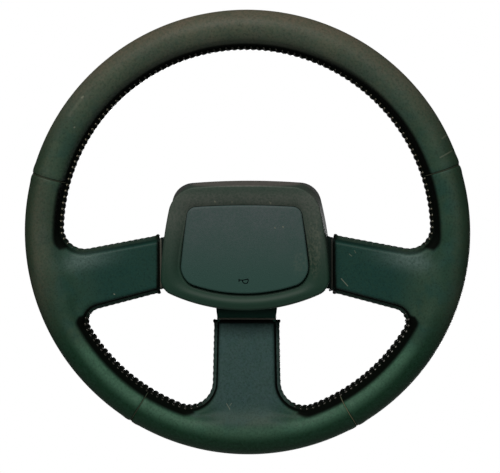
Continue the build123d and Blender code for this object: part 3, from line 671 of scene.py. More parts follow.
@dataclass(frozen=True)
class Surface:
    """Points and faces of one piece, with named values on its points."""

    points: np.ndarray
    faces: np.ndarray
    values: dict[str, np.ndarray] = field(default_factory=dict)

    @staticmethod
    def grid(points: np.ndarray, close_rows: bool = False, close_columns: bool = False) -> "Surface":
        """A surface through a grid of points.

        Args:
            points: points in rows and columns.
            close_rows: whether the last row joins the first.
            close_columns: whether the last column joins the first.

        Returns:
            The surface, in quads.
        """
        rows, columns = points.shape[:2]
        index = np.arange(rows * columns).reshape(rows, columns)
        if close_rows:
            index = np.concatenate([index, index[:1]], 0)
        if close_columns:
            index = np.concatenate([index, index[:, :1]], 1)
        faces = np.stack([index[:-1, :-1], index[:-1, 1:], index[1:, 1:], index[1:, :-1]], -1)
        return Surface(points.reshape(-1, 3), faces.reshape(-1, 4))

    @staticmethod
    def joined(surfaces: list["Surface"]) -> "Surface":
        """Several surfaces as one.

        Args:
            surfaces: the surfaces, with the same named values.

        Returns:
            The joined surface.
        """
        offsets = np.cumsum([0] + [len(surface.points) for surface in surfaces[:-1]])
        faces = np.concatenate([surface.faces + offset for surface, offset in zip(surfaces, offsets)])
        values = {
            name: np.concatenate([surface.values[name] for surface in surfaces])
            for name in surfaces[0].values
        }
        return Surface(np.concatenate([surface.points for surface in surfaces]), faces, values)

    def valued(self, **values: np.ndarray | float) -> "Surface":
        """The surface with named values.

        Args:
            values: one value for each point, or one for all of them.

        Returns:
            The surface with these values alone.
        """
        spread = {name: np.broadcast_to(value, len(self.points)) for name, value in values.items()}
        return Surface(self.points, self.faces, spread)

    def made(self, name: str, material: bpy.types.Material, body: str) -> bpy.types.Object:
        """The surface as an object that rides on a body.

        Args:
            name: the object's name.
            material: its material.
            body: the body it moves with.

        Returns:
            The object.
        """
        mesh = bpy.data.meshes.new(name)
        mesh.vertices.add(len(self.points))
        mesh.vertices.foreach_set("co", (self.points * MILLIMETRE).astype(np.float32).ravel())
        mesh.loops.add(self.faces.size)
        mesh.loops.foreach_set("vertex_index", self.faces.astype(np.int32).ravel())
        mesh.polygons.add(len(self.faces))
        mesh.polygons.foreach_set("loop_start", np.arange(0, self.faces.size, 4, dtype=np.int32))
        mesh.update(calc_edges=True)
        mesh.shade_smooth()
        for label, value in self.values.items():
            attribute = mesh.attributes.new(label, "FLOAT", "POINT")
            attribute.data.foreach_set("value", value.astype(np.float32).ravel())
        mesh.materials.append(material)
        made = bpy.data.objects.new(name, mesh)
        bpy.context.scene.collection.objects.link(made)
        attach(made, body)
        log.info("%s: %d faces", name, len(self.faces))
        return made


def tube(track: Track, section: np.ndarray) -> Surface:
    """A section carried along a track.

    Args:
        track: the track.
        section: (out, front) distances of the section's points, one set or one for each point of the track.

    Returns:
        The surface.
    """
    sections = np.broadcast_to(section, (len(track.points),) + section.shape[-2:])
    return Surface.grid(track.placed(sections[..., 0], sections[..., 1]), close_columns=True)


def surface_net(values: np.ndarray) -> tuple[np.ndarray, np.ndarray]:
    """The zero surface of a field on a grid: one point in each mixed cell, one quad on each crossed edge.

    Args:
        values: the field, negative inside.

    Returns:
        Points in grid steps, and quads that face outwards.
    """
    inside = values < 0
    shape = np.array(values.shape) - 1
    corners = np.stack(np.meshgrid([0, 1], [0, 1], [0, 1], indexing="ij"), -1).reshape(-1, 3)
    filled = sum(
        inside[a:a + shape[0], b:b + shape[1], c:c + shape[2]].astype(np.int8) for a, b, c in corners
    )
    mixed = (filled > 0) & (filled < 8)
    base = np.argwhere(mixed)
    number = np.full(shape, -1)
    number[mixed] = np.arange(len(base))
    total = np.zeros((len(base), 3))
    count = np.zeros((len(base), 1))
    quads = []
    for axis in range(3):
        step = np.eye(3, dtype=int)[axis]
        for corner in corners[corners[:, axis] == 0]:
            low = values[tuple((base + corner).T)]
            high = values[tuple((base + corner + step).T)]
            crossed = (low < 0) != (high < 0)
            share = np.where(crossed, low / np.where(crossed, low - high, 1), 0)
            total += (corner + share[:, None] * step) * crossed[:, None]
            count += crossed[:, None]
        near = [slice(1, -1)] * 3
        far = [slice(1, -1)] * 3
        near[axis] = slice(0, -1)
        far[axis] = slice(1, None)
        change = inside[tuple(near)] != inside[tuple(far)]
        edge = np.argwhere(change) + (1 - step)
        outward = inside[tuple(edge.T)]
        first, second = np.eye(3, dtype=int)[[(axis + 1) % 3, (axis + 2) % 3]]
        ring = [number[tuple((edge - shift).T)] for shift in (first + second, second, 0 * step, first)]
        quad = np.stack(ring, 1)
        quads.append(np.where(outward[:, None], quad, quad[:, ::-1]))
    return base + total / count, np.concatenate(quads)


@dataclass(frozen=True)
class LeatherPiece:
    """The leather between two cross seams, as the skin of one smooth body."""

    node: str
    first_seam: float
    last_seam: float
    inner_radius: float
    grid_step: float = 1.1
    least_step: float = 0.12
    step_growth: float = 1.3
    fine_steps: int = 9
    depth_behind: float = 20.4
    room_in_front: float = 4.0
    room_outside: float = 2.0
    corrections: int = 3

    def angles(self) -> np.ndarray:
        """Angles of the grid, finer towards the two seams.

        Returns:
            Degrees from +X, growing.
        """
        trim = np.degrees(SEAM_GAP / 2 / GRIP_CENTRE)
        start = self.first_seam + trim
        span = (self.last_seam - self.first_seam) % 360 - 2 * trim
        coarse = np.degrees(self.grid_step / GRIP_CENTRE)
        growth = self.step_growth ** np.arange(self.fine_steps)
        fine = np.minimum(coarse * self.least_step * growth, coarse)
        middle = span - 2 * fine.sum()
        count = int(np.ceil(middle / coarse))
        steps = np.concatenate([fine, np.full(count, middle / count), fine[::-1]])
        return start + np.concatenate([[-fine[0] / 2], np.cumsum(steps)])

    @staticmethod
    def field(x: np.ndarray, y: np.ndarray, z: np.ndarray) -> np.ndarray:
        """The body's distance field.

        A ring of round section, flattened beside the lips and drawn in at the cross seams, is joined to the
        spokes with round fillets.

        Args:
            x: X of the points.
            y: Y of the points.
            z: Z of the points.

        Returns:
            The field, negative inside.
        """
        across = np.hypot(x, z) - GRIP_CENTRE
        rise = -y - RIM_LEVEL
        ring = np.hypot(across, rise)
        angle = np.degrees(np.arctan2(z, x))
        turned = np.abs((angle[..., None] - np.array(CROSS_SEAMS) + 180) % 360 - 180).min(axis=-1)
        apart = turned * np.radians(1) * GRIP_CENTRE
        swell = SEAM_SWELL * bell(apart - SEAM_SWELL_PLACE, SEAM_SWELL_WIDTH)
        drawn_in = SEAM_GROOVE * bell(apart, SEAM_GROOVE_WIDTH) - swell
        flank = np.radians(FLANK_ANGLE)
        flat = -across * np.cos(flank) + np.abs(rise) * np.sin(flank) - (GRIP_RADIUS - FLANK_CUT)
        body = soft_max(ring - GRIP_RADIUS, flat, FLANK_EDGE) + drawn_in
        for spoke in SPOKES:
            slab, reach = spoke.slab(x, y, z)
            body = -soft_max(-body, -slab, reach)
        return body

    @staticmethod
    def unworn(x: np.ndarray, z: np.ndarray) -> np.ndarray:
        """How black the leather is painted beside the lips and at the spoke ends: painted shade and unworn
        black.

        Args:
            x: X of the points.
            z: Z of the points.

        Returns:
            Shares from 0 to 1.
        """
        rim = GRIP_INNER - np.hypot(x, z)
        plan = np.stack([x, z], 1)
        webs = [spoke.web(*spoke.lifted(plan).T) for spoke in SPOKES]
        spokes = np.minimum.reduce([np.maximum(outline, end) for outline, end, _, _ in webs])
        ends = np.minimum.reduce([np.where(outline < 0, np.abs(end), FAR_OFF) for outline, end, _, _ in webs])
        on_spoke = np.maximum.reduce(
            [smoothstep(*SPOKE_TURN, turn) * (end < SPOKE_MARGIN) for _, end, _, turn in webs]
        )
        depth = -np.minimum(rim, spokes)
        lips = smoothstep(SPOKE_BLACK + SPOKE_BLACK_FADE, SPOKE_BLACK - SPOKE_BLACK_FADE, depth)
        # Painted light: the lips along the upper edges of the side spokes are less black, where those edges
        # are lit.
        lips = lips * (1 - SPOKE_LIP_LIGHT * on_spoke * smoothstep(*SPOKE_LIP_HEIGHTS, z))
        clockwise = np.degrees(np.arctan2(x, z))
        below = smoothstep(*BLACK_RIGHT_ANGLES, clockwise) + smoothstep(*BLACK_LEFT_ANGLES, clockwise)
        width = between(TOP_BLACK, RIM_BLACK, below)
        width = width + RIGHT_BLACK * below * smoothstep(*BLACK_RIGHT_RUN, x)
        soft = between(TOP_BLACK_FADE, RIM_BLACK_FADE, below)
        for (_, end, _, turn), stop in zip(webs, BLACK_STOPS):
            share = smoothstep(stop + BLACK_STOP_BEFORE, stop - BLACK_STOP_AFTER, turn)
            width = np.where(end < SPOKE_MARGIN, width - BLACK_STOP_CUT * share**2, width)
        lips = np.maximum(lips, smoothstep(width + soft, width - soft, np.maximum(-rim, 0)))
        return np.maximum(lips, smoothstep(*END_BLACK, ends))

    def surface(self) -> Surface:
        """The skin, found on a grid of radius, angle and level and then drawn onto the exact surface.

        Returns:
            The surface, with the values that the leather's material takes.
        """
        angles = self.angles()
        furthest = GRIP_CENTRE + GRIP_RADIUS + self.room_outside
        radii = np.arange(self.inner_radius, furthest, self.grid_step)
        highest = RIM_LEVEL + GRIP_RADIUS + self.room_in_front
        levels = np.arange(RIM_LEVEL - self.depth_behind, highest, self.grid_step)
        radius, angle, level = np.meshgrid(radii, angles, levels, indexing="ij")
        values = self.field(
            radius * np.cos(np.radians(angle)), -level, radius * np.sin(np.radians(angle))
        )
        places, faces = surface_net(values)
        radius = np.interp(places[:, 0], np.arange(len(radii)), radii)
        angle = np.radians(np.interp(places[:, 1], np.arange(len(angles)), angles))
        level = np.interp(places[:, 2], np.arange(len(levels)), levels)
        points = np.stack([radius * np.cos(angle), -level, radius * np.sin(angle)], 1)
        for _ in range(self.corrections):
            points = points - self.correction(points)
        x, y, z = points.T
        front = self.front(x, y, z)
        return Surface(points, faces).valued(
            unworn=self.unworn(x, z),
            front=front,
            spoke=self.on_spokes(x, y, z),
            sheen=self.sheen(x, z) * front,
        )

    @staticmethod
    def front(x: np.ndarray, y: np.ndarray, z: np.ndarray) -> np.ndarray:
        """Whether points lie on the driver's side.

        Args:
            x: X of the points.
            y: Y of the points.
            z: Z of the points.

        Returns:
            1 in front of the middle of rim and spokes, and 0 behind it.
        """
        fall = SPOKES[0].slope() * np.maximum(GRIP_INNER - np.hypot(x, z), 0)
        return smoothstep(0, 3, -y - RIM_LEVEL + fall)

    @staticmethod
    def on_spokes(x: np.ndarray, y: np.ndarray, z: np.ndarray) -> np.ndarray:
        """How far points belong to the two side spokes.

        Args:
            x: X of the points.
            y: Y of the points.
            z: Z of the points.

        Returns:
            1 on the spokes, falling to 0 over the blend with the rim.
        """
        edges = [np.maximum(*spoke.web(x, y, z)[:2]) for spoke in (RIGHT_SPOKE, LEFT_SPOKE)]
        joined = smoothstep(GRIP_INNER + 4, GRIP_INNER - ROOT_RUN, np.hypot(x, z))
        return smoothstep(SPOKE_MARGIN, -SPOKE_MARGIN, np.minimum(*edges)) * joined

    @staticmethod
    def sheen(x: np.ndarray, z: np.ndarray) -> np.ndarray:
        """The painted highlight in the hollow where the upper edge of each side spoke runs into the rim.

        It is a leaning oval that falls off as a bell, longer towards the hub.

        Args:
            x: X of the points.
            z: Z of the points.

        Returns:
            Shares from 0 to 1.
        """
        lean = np.radians(RIGHT_UPPER.angle)
        from_x = np.abs(x) - SHEEN_PLACE[0]
        from_z = z - SHEEN_PLACE[1]
        along = from_x * np.cos(lean) + from_z * np.sin(lean)
        across = from_z * np.cos(lean) - from_x * np.sin(lean)
        length = np.where(along < 0, SHEEN_INWARD, SHEEN_OUTWARD)
        return np.exp(-((along / length) ** 2) - (across / SHEEN_HALF_WIDTH) ** 2)

    def correction(self, points: np.ndarray, probe: float = 0.02, furthest: float = 0.6) -> np.ndarray:
        """The step from points to the exact surface.

        Args:
            points: points near the surface.
            probe: how far from them the slope is measured.
            furthest: the longest step along each axis.

        Returns:
            The field over its slope, along the slope.
        """
        slope = np.stack(
            [
                (self.field(*(points + shift).T) - self.field(*(points - shift).T)) / (2 * probe)
                for shift in np.eye(3) * probe
            ],
            1,
        )
        value = self.field(*points.T)[:, None]
        step = value * slope / np.maximum(np.sum(slope * slope, 1, keepdims=True), 0.05)
        return np.clip(step, -furthest, furthest)


RIM_SKIN_START = 156.0
SPOKE_SKIN_START = 68.0
LEATHER_PIECES = (
    LeatherPiece("leather_top", CROSS_SEAMS[0], CROSS_SEAMS[1], RIM_SKIN_START),
    LeatherPiece("leather_left", CROSS_SEAMS[1], CROSS_SEAMS[2], SPOKE_SKIN_START),
    LeatherPiece("leather_bottom", CROSS_SEAMS[2], CROSS_SEAMS[3], SPOKE_SKIN_START),
    LeatherPiece("leather_right", CROSS_SEAMS[3], CROSS_SEAMS[0], SPOKE_SKIN_START),
)


@dataclass(frozen=True)
class Lacing:
    """The sewn lips round a window and the thread that laces them."""

    window: Window
    thread_radius: float
    swing: float
    fine_radius: float = 0.55
    fine_swing: float = 0.5
    lit_lip: float = 0.5
    steps_per_stitch: int = 14
    lip_steps: int = 8
    sides: int = 8
    ridge: tuple[tuple[float, float], ...] = (
        (-3.0, 3.2), (-1.0, 2.5), (0.6, 2.0), (1.6, 1.7), (2.2, 1.1), (2.1, 0.35), (1.5, 0.0)
    )
    pinch_depth: float = 0.45
    pinch_width: float = 0.16
    roll_place: float = 1.2
    roll_width: float = 1.8
    roll_height: float = 1.2
    roll_gain: float = 0.9
    lip_width: float = 0.7
    lip_gain: float = 0.3
    low_heights: tuple[float, float] = (-42.0, -46.0)
    low_sheen: float = 0.45
    track_step: float = 0.5
    full_run: float = 13.0
    lean_share: float = 0.24
    lean_turn: float = 0.6
    axis_height: float = 2.0
    axis_gain: float = 0.2
    reach: float = 0.4
    reach_gain: float = 0.6
    crest_turn: float = 2.0
    crest_power: float = 10.0
    least_glint: float = 0.06
    left_glint: float = 0.55
    left_run: tuple[float, float] = (-90.0, -135.0)
    right_glint: float = 0.2
    right_run: tuple[float, float] = (70.0, 120.0)
    glint_heights: tuple[float, float] = (-40.0, -10.0)
    spoke_glint: float = 0.3
    rim_glint: float = 0.7

    def stitches(self) -> tuple[int, Track]:
        """The stitches of the window.

        Returns:
            Their number and the line they follow.
        """
        track = self.window.track(self.track_step)
        return round(track.length[-1] / STITCH_PITCH), track

    def fullness(self, track: Track) -> np.ndarray:
        """How full the stitches are: coarse round the rim and fine along the spokes.

        Args:
            track: the line they follow.

        Returns:
            1 on the rim and 0 on the spokes, one for each point.
        """
        radius = np.hypot(track.points[:, 0], track.points[:, 2])
        return smoothstep(GRIP_INNER - self.full_run, GRIP_INNER, radius)

    def lips(self) -> Surface:
        """The two leather edges, drawn together at each stitch.

        The section is a ridge that stands out of the leather, and its height and width fall with a squared
        cosine at each stitch. It is thinner along the spokes, and thickens as a bell to a small roll at its
        ends.

        Returns:
            The surface, black round the rim, painted lighter along the spokes as light on the lips, with a
            painted sheen on the lower ones.
        """
        count, track = self.stitches()
        length = np.linspace(0, track.length[-1], count * self.lip_steps + 1)
        line = track.at(length)
        pinch = np.cos(np.pi * length / track.length[-1] * count) ** 2
        ridge = np.array(self.ridge)
        section = np.concatenate([ridge, (ridge * [1, -1])[-2::-1]])
        full = self.fullness(line)[:, None]
        from_end = np.minimum(length, track.length[-1] - length)[:, None]
        roll = bell(from_end - self.roll_place, self.roll_width)
        standing = section[:, 0] - self.pinch_depth * pinch[:, None] * full + self.roll_height * roll
        out = np.where(section[:, 0] > 0, standing, section[:, 0])
        width = self.lip_width + self.lip_gain * full + self.roll_gain * roll
        front = section[:, 1] * width * (1 - self.pinch_width * pinch[:, None])
        ridges = tube(line, np.stack([out, front], -1))
        # Painted light: the lips are less black along the spokes, and the lower ones carry a painted sheen.
        unworn = np.repeat(1 - self.lit_lip * (1 - full - roll).clip(0, 1), len(section), axis=1)
        low = (1 - full) * smoothstep(*self.low_heights, line.points[:, 2:])
        sheen = self.low_sheen * np.repeat(low, len(section), axis=1)
        return ridges.valued(unworn=unworn.ravel(), front=0.0, spoke=0.0, sheen=sheen.ravel())

    def thread(self) -> Surface:
        """The thread, wound round the lips.

        Its line is an ellipse round the lips that moves on by one pitch at each turn.

        Returns:
            The surface, with its share of painted glint on the crest of each stitch.
        """
        count, track = self.stitches()
        steps = count * self.steps_per_stitch
        length = np.linspace(0, track.length[-1], steps + 1)
        turn = 2 * np.pi * length / track.length[-1] * count
        lean = self.lean_share * STITCH_PITCH * np.sin(turn + self.lean_turn)
        base = track.at(np.clip(length + lean, 0, track.length[-1]))
        full = self.fullness(base)
        swing = between(self.fine_swing, self.swing, full)
        out = self.axis_height + self.axis_gain * full - swing * (1 - np.cos(turn))
        front = (swing + self.reach + self.reach_gain * full) * np.sin(turn)
        line = base.placed(out[:, None], front[:, None])[:, 0]
        winding = Track.through(line, base.out + 1e-3 * base.front)
        radius = between(self.fine_radius, self.thread_radius, full)
        threads = tube(winding, radius[:, None, None] * circle(1.0, self.sides))
        # Painted glints: pale on the crest of each stitch, strongest on the left, faint along the spokes.
        crest = np.maximum(np.cos(turn - self.crest_turn), 0) ** self.crest_power
        x, _, z = base.points.T
        left = self.left_glint * smoothstep(*self.left_run, x)
        right = self.right_glint * smoothstep(*self.right_run, x)
        glint = self.least_glint + (left + right) * smoothstep(*self.glint_heights, z)
        rubbed = crest * glint * (self.spoke_glint + self.rim_glint * full)
        return threads.valued(rubbed=np.repeat(rubbed, self.sides))


@dataclass(frozen=True)
class SpokeEnd:
    """The end of a spoke at the pad: the rolled edge of the leather and the neck that comes out of it."""

    spoke: Spoke
    rubbed: float
    welt_radius: float = 1.1
    welt_gap: float = 1.5
    welt_inset: float = 1.2
    neck_length: float = 15.0
    neck_grow: tuple[float, float] = (-0.5, 0.5)
    face_inset: float = 0.6
    corner_power: float = 0.2
    loop_points: int = 96

    def loop(self, run: np.ndarray, grow: np.ndarray) -> np.ndarray:
        """Loops round the neck: rounded oblongs whose cosine and sine are drawn to a tenth-power square.

        Args:
            run: how far each loop lies from the end of the leather, towards the hub.
            grow: how far each loop stands out of the spoke's width.

        Returns:
            Points in rows, one for each loop.
        """
        starts = np.array([self.spoke.first.start, self.spoke.second.start])
        across = unit(starts[0] - starts[1])
        half = np.linalg.norm(starts[0] - starts[1]) / 2
        turns = circle(1.0, self.loop_points)
        sideways, upward = (np.sign(turns) * np.abs(turns) ** self.corner_power).T
        widths = (half + grow)[:, None] * sideways
        heights = (SPOKE_HALF_THICKNESS - self.face_inset + grow)[:, None] * upward
        plan = starts.mean(axis=0) + widths[..., None] * across + run[:, None, None] * self.spoke.inward()
        lifted = self.spoke.lifted(plan.reshape(-1, 2)).reshape(*plan.shape[:2], 3)
        return lifted - heights[..., None] * np.array([0, 1, 0])

    def welt(self) -> Surface:
        """A thin roll: a circle carried round a loop.

        Returns:
            The surface.
        """
        points = self.loop(np.array([self.welt_gap]), np.array([-self.welt_inset]))[0]
        inward = self.spoke.inward()
        closed = np.concatenate([points, points[:1]])
        out = np.broadcast_to([inward[0], self.spoke.slope(), inward[1]], closed.shape)
        return tube(Track.through(closed, out), circle(self.welt_radius)).valued(rubbed=self.rubbed)

    def neck(self) -> Surface:
        """The bare foam between leather and pad, a loop that grows wider towards the pad.

        Returns:
            The surface.
        """
        share = np.linspace(0, 1, 10)
        grow = between(*self.neck_grow, smoothstep(0.1, 0.8, share))
        return Surface.grid(self.loop(share * self.neck_length - 1, grow), close_columns=True)


@dataclass(frozen=True)
class CrossSeam:
    """The thread that shows in the groove of a cross seam."""

    angle: float
    rubbed: float
    radius: float = 0.3
    depth: float = 0.45
    lip_angle: float = 14.0

    def surface(self) -> Surface:
        """A thin tube round the rim's section, from lip to lip.

        Returns:
            The surface.
        """
        turn = np.radians(np.linspace(self.lip_angle, 360 - self.lip_angle, 120))
        ring = GRIP_RADIUS - self.depth
        plan = heading(self.angle)
        radius = GRIP_CENTRE - ring * np.cos(turn)
        points = np.stack([radius * plan[0], -RIM_LEVEL - ring * np.sin(turn), radius * plan[1]], 1)
        out = np.broadcast_to([-plan[1], 0, plan[0]], points.shape)
        return tube(Track.through(points, out), circle(self.radius, 6)).valued(rubbed=self.rubbed)


@dataclass(frozen=True)
class LooseEnd:
    """The end of the lacing thread that hangs out beside the pad."""

    places: tuple[Place, ...] = ((77.0, 43.0, -50.0), (74.0, 44.0, -47.6), (71.0, 44.5, -48.2))
    radius: float = 0.9

    def surface(self) -> Surface:
        """A thin tube through the places, each given as X, level and Z.

        Returns:
            The surface.
        """
        line = polyline(np.array(self.places) * [1, -1, 1], 16)
        out = np.broadcast_to([0.0, 0.0, -1.0], line.shape)
        return tube(Track.through(line, out), circle(self.radius)).valued(rubbed=0.0)


@dataclass(frozen=True)
class Shield:
    """The crowned outline that pad and panel share."""

    top: float
    top_half_width: float
    top_crown: float
    side_bulge: float
    base: float
    base_half_width: float
    base_crown: float
    top_corner: float
    base_corner: float

    def distance(self, x: np.ndarray, z: np.ndarray) -> np.ndarray:
        """How far plan points lie outside the outline: four arcs with rounded corners.

        Args:
            x: X of the points.
            z: Z of the points.

        Returns:
            The distances, negative inside.
        """
        upper = np.array([self.top_half_width, self.top - self.top_crown])
        lower = np.array([self.base_half_width, self.base + self.base_crown])
        top_radius = (upper[0] ** 2 + self.top_crown**2) / (2 * self.top_crown)
        base_radius = (lower[0] ** 2 + self.base_crown**2) / (2 * self.base_crown)
        chord = upper - lower
        sideways = unit(np.array([chord[1], -chord[0]]))
        side_radius = (chord @ chord / 4 + self.side_bulge**2) / (2 * self.side_bulge)
        side_centre = (upper + lower) / 2 + sideways * (self.side_bulge - side_radius)
        top = np.hypot(x, z - self.top + top_radius) - top_radius
        base = np.hypot(x, z - self.base - base_radius) - base_radius
        side = np.hypot(np.abs(x) - side_centre[0], z - side_centre[1]) - side_radius
        return round_cut(round_cut(top, side, self.top_corner), base, self.base_corner)

    def reach(self, angles: np.ndarray, grow: np.ndarray | float) -> np.ndarray:
        """How far the outline lies from the shield's centre, found by halving.

        Args:
            angles: radians from +X.
            grow: how far the outline is moved out.

        Returns:
            Distances from the centre.
        """
        low = np.zeros(np.broadcast(angles, grow).shape)
        high = low + SHIELD_REACH
        for _ in range(HALVINGS):
            middle = (low + high) / 2
            x = SHIELD_CENTRE[0] + middle * np.cos(angles)
            z = SHIELD_CENTRE[1] + middle * np.sin(angles)
            outside = self.distance(x, z) > grow
            high = np.where(outside, middle, high)
            low = np.where(outside, low, middle)
        return low

    def angles(self, count: int) -> np.ndarray:
        """Angles of points that are evenly spaced on the outline.

        Args:
            count: how many points.

        Returns:
            Radians from +X.
        """
        dense = np.linspace(0, 2 * np.pi, 4001)
        reach = self.reach(dense, 0)
        steps = np.hypot(np.diff(reach * np.cos(dense)), np.diff(reach * np.sin(dense)))
        length = np.concatenate([[0], np.cumsum(steps)])
        return np.interp(np.linspace(0, length[-1], count, endpoint=False), length, dense)


PAD = Shield(
    top=45.6, top_half_width=60.5, top_crown=3.0, side_bulge=3.2,
    base=-64.6, base_half_width=73.4, base_crown=18.6, top_corner=19.0, base_corner=10.0,
)
PANEL = Shield(
    top=26.5, top_half_width=47.3, top_crown=1.8, side_bulge=0.4,
    base=-47.8, base_half_width=54.8, base_crown=11.5, top_corner=6.0, base_corner=12.0,
)


def shield_points(angles: np.ndarray, reach: np.ndarray, level: np.ndarray) -> np.ndarray:
    """Points round the shield's centre.

    Args:
        angles: radians from +X, one for each row.
        reach: distances from the centre, in rows and columns.
        level: levels, in rows and columns.

    Returns:
        Points in the row frame, in rows and columns.
    """
    x = SHIELD_CENTRE[0] + reach * np.cos(angles)[:, None]
    z = SHIELD_CENTRE[1] + reach * np.sin(angles)[:, None]
    return np.stack([x, -np.broadcast_to(level, x.shape), z], -1)


@dataclass(frozen=True)
class PadSurround:
    """The soft bolster round the horn panel, with its skirt."""

    edge_round: float = 3.2
    top_edge_round: float = 1.3
    well_round: float = 2.2
    top_well_round: float = 0.4
    fall: float = 6.0
    top_fall: float = 3.0
    crest: float = 0.28
    top_crest: float = 0.04
    top_gap: float = 0.3
    top_turn: tuple[float, float] = (-0.1, 0.6)
    well_depth: float = 9.0
    columns: int = 420
    round_steps: int = 11
    skirt_steps: int = 12
    front_steps: int = 20
    floor_steps: int = 5

    def surface(self) -> Surface:
        """A profile carried round the pad.

        The profile runs up the drafted skirt, over a quarter circle, across a front that is a blend of pad
        and panel outlines and falls as a parabola from its crest, and over a second quarter circle into the
        well. Along the top its edges are crisper and its crest lies at the outer edge.

        Returns:
            The surface.
        """
        angles = PAD.angles(self.columns)
        top = smoothstep(*self.top_turn, np.sin(angles))[:, None]
        edge_round = between(self.edge_round, self.top_edge_round, top)
        well_round = between(self.well_round, self.top_well_round, top)
        fall = between(self.fall, self.top_fall, top)
        crest = between(self.crest, self.top_crest, top)
        gap = between(PANEL_GAP, self.top_gap, top)
        turn = np.linspace(0, np.pi / 2, self.round_steps)
        shoulder = PAD_FRONT_LEVEL - fall * crest**2 - edge_round
        skirt_level = between(PAD_REAR_LEVEL, shoulder, np.linspace(0, 1, self.skirt_steps))
        skirt_grow = -(skirt_level - PAD_REAR_LEVEL) * np.tan(np.radians(PAD_DRAFT))
        edge_level = shoulder + edge_round * np.sin(turn[1:])
        edge_grow = skirt_grow[:, -1:] - edge_round * (1 - np.cos(turn[1:]))
        outer = PAD.reach(angles[:, None], np.concatenate([skirt_grow, edge_grow], axis=1))
        inner_edge = PANEL.reach(angles[:, None], gap + well_round)
        share = np.linspace(0, 1, self.front_steps)[1:]
        front = between(outer[:, -1:], inner_edge, share)
        front_level = PAD_FRONT_LEVEL - fall * (share - crest) ** 2
        well = PANEL.reach(angles[:, None], gap + well_round * (1 - np.sin(turn[1:])))
        well_level = front_level[:, -1:] - well_round * (1 - np.cos(turn[1:]))
        bottom = PAD_FRONT_LEVEL - self.well_depth
        floor_level = between(well_level[:, -1:], bottom, np.linspace(0, 1, self.floor_steps)[1:])
        floor = np.repeat(well[:, -1:], floor_level.shape[1], axis=1)
        reach = np.concatenate([outer, front, well, floor], axis=1)
        level = np.concatenate([skirt_level, edge_level, front_level, well_level, floor_level], axis=1)
        return Surface.grid(shield_points(angles, reach, level), close_rows=True)


@dataclass(frozen=True)
class HornPanel:
    """The front of the horn button: a flat grained panel with a rounded edge."""

    edge_round: float = 1.6
    skirt: float = 9.0
    middle_share: float = 0.002
    columns: int = 360
    round_steps: int = 9
    rings: int = 40
    side_steps: int = 4

    def surface(self) -> Surface:
        """Rings from the middle of the panel to its edge, over a quarter circle and down its side.

        Returns:
            The surface.
        """
        angles = PANEL.angles(self.columns)
        turn = np.linspace(0, np.pi / 2, self.round_steps)
        share = np.linspace(self.middle_share, 1, self.rings)[:-1]
        edge = PANEL.reach(angles[:, None], -self.edge_round)
        flat = edge * share
        flat_level = np.full(len(share), PANEL_FACE_LEVEL)
        rolled = PANEL.reach(angles[:, None], (-self.edge_round * (1 - np.sin(turn)))[None])
        rolled_level = PANEL_FACE_LEVEL - self.edge_round * (1 - np.cos(turn))
        bottom = PANEL_FRONT_LEVEL - self.skirt
        side_level = np.linspace(rolled_level[-1], bottom, self.side_steps)[1:]
        side = np.repeat(rolled[:, -1:], len(side_level), axis=1)
        reach = np.concatenate([flat, rolled, side], axis=1)
        level = np.concatenate([flat_level, rolled_level, side_level])
        return Surface.grid(shield_points(angles, reach, level[None]), close_rows=True)


@dataclass(frozen=True)
class HornSprings:
    """The four coil springs behind the horn button."""

    places: tuple[tuple[float, float], ...] = ((-34.0, 13.0), (34.0, 13.0), (-38.0, -27.0), (38.0, -27.0))
    seat: float = 52.1
    wire_radius: float = 0.5
    coil_radius: float = 4.0
    coil_height: float = 15.8
    turns: int = 4

    def height(self) -> float:
        """The springs' height at rest.

        Returns:
            The height of the coils with their wire.
        """
        return self.coil_height + 2 * self.wire_radius

    def surface(self) -> Surface:
        """A circle carried along a helix, at each place.

        Returns:
            The surface.
        """
        turn = np.linspace(0, 2 * np.pi * self.turns, 40 * self.turns)
        rise = self.seat + self.wire_radius + self.coil_height * turn / turn[-1]
        spread = np.stack([np.cos(turn), 0 * turn, np.sin(turn)], 1)
        coils = []
        for x, z in self.places:
            across = x + self.coil_radius * spread[:, 0]
            upward = z + self.coil_radius * spread[:, 2]
            line = np.stack([across, -rise, upward], 1)
            coils.append(tube(Track.through(line, spread), circle(self.wire_radius)))
        return Surface.joined(coils)


@dataclass(frozen=True)
class HornSign:
    """A small sign of a bugle, raised a little from the panel."""

    centre: tuple[float, float] = (-0.8, -37.1)
    half_width: float = 0.42
    steps: int = 24
    strokes: tuple[tuple[tuple[float, float], ...], ...] = (
        ((-3.8, 2.0), (-3.8, -0.6)),
        ((-3.8, 0.9), (-0.6, 0.9), (1.6, 1.3), (3.8, 1.9)),
        ((3.8, 1.9), (3.9, 0.2), (3.2, -1.6)),
        ((3.2, -1.6), (1.4, -1.9), (-0.2, -1.4), (-0.9, 0.0), (-0.6, 0.9)),
    )

    def surface(self) -> Surface:
        """Thin flat tubes along the strokes.

        Returns:
            The surface.
        """
        section = circle(1.0) * [self.half_width, SIGN_HEIGHT]
        level = np.full(self.steps, PANEL_FACE_LEVEL)
        tubes = []
        for stroke in self.strokes:
            plan = polyline(np.array(stroke) + self.centre, self.steps)
            line = np.stack([plan[:, 0], -level, plan[:, 1]], 1)
            along = np.gradient(plan, axis=0)
            out = np.stack([-along[:, 1], 0 * level, along[:, 0]], 1)
            tubes.append(tube(Track.through(line, out), section))
        return Surface.joined(tubes)


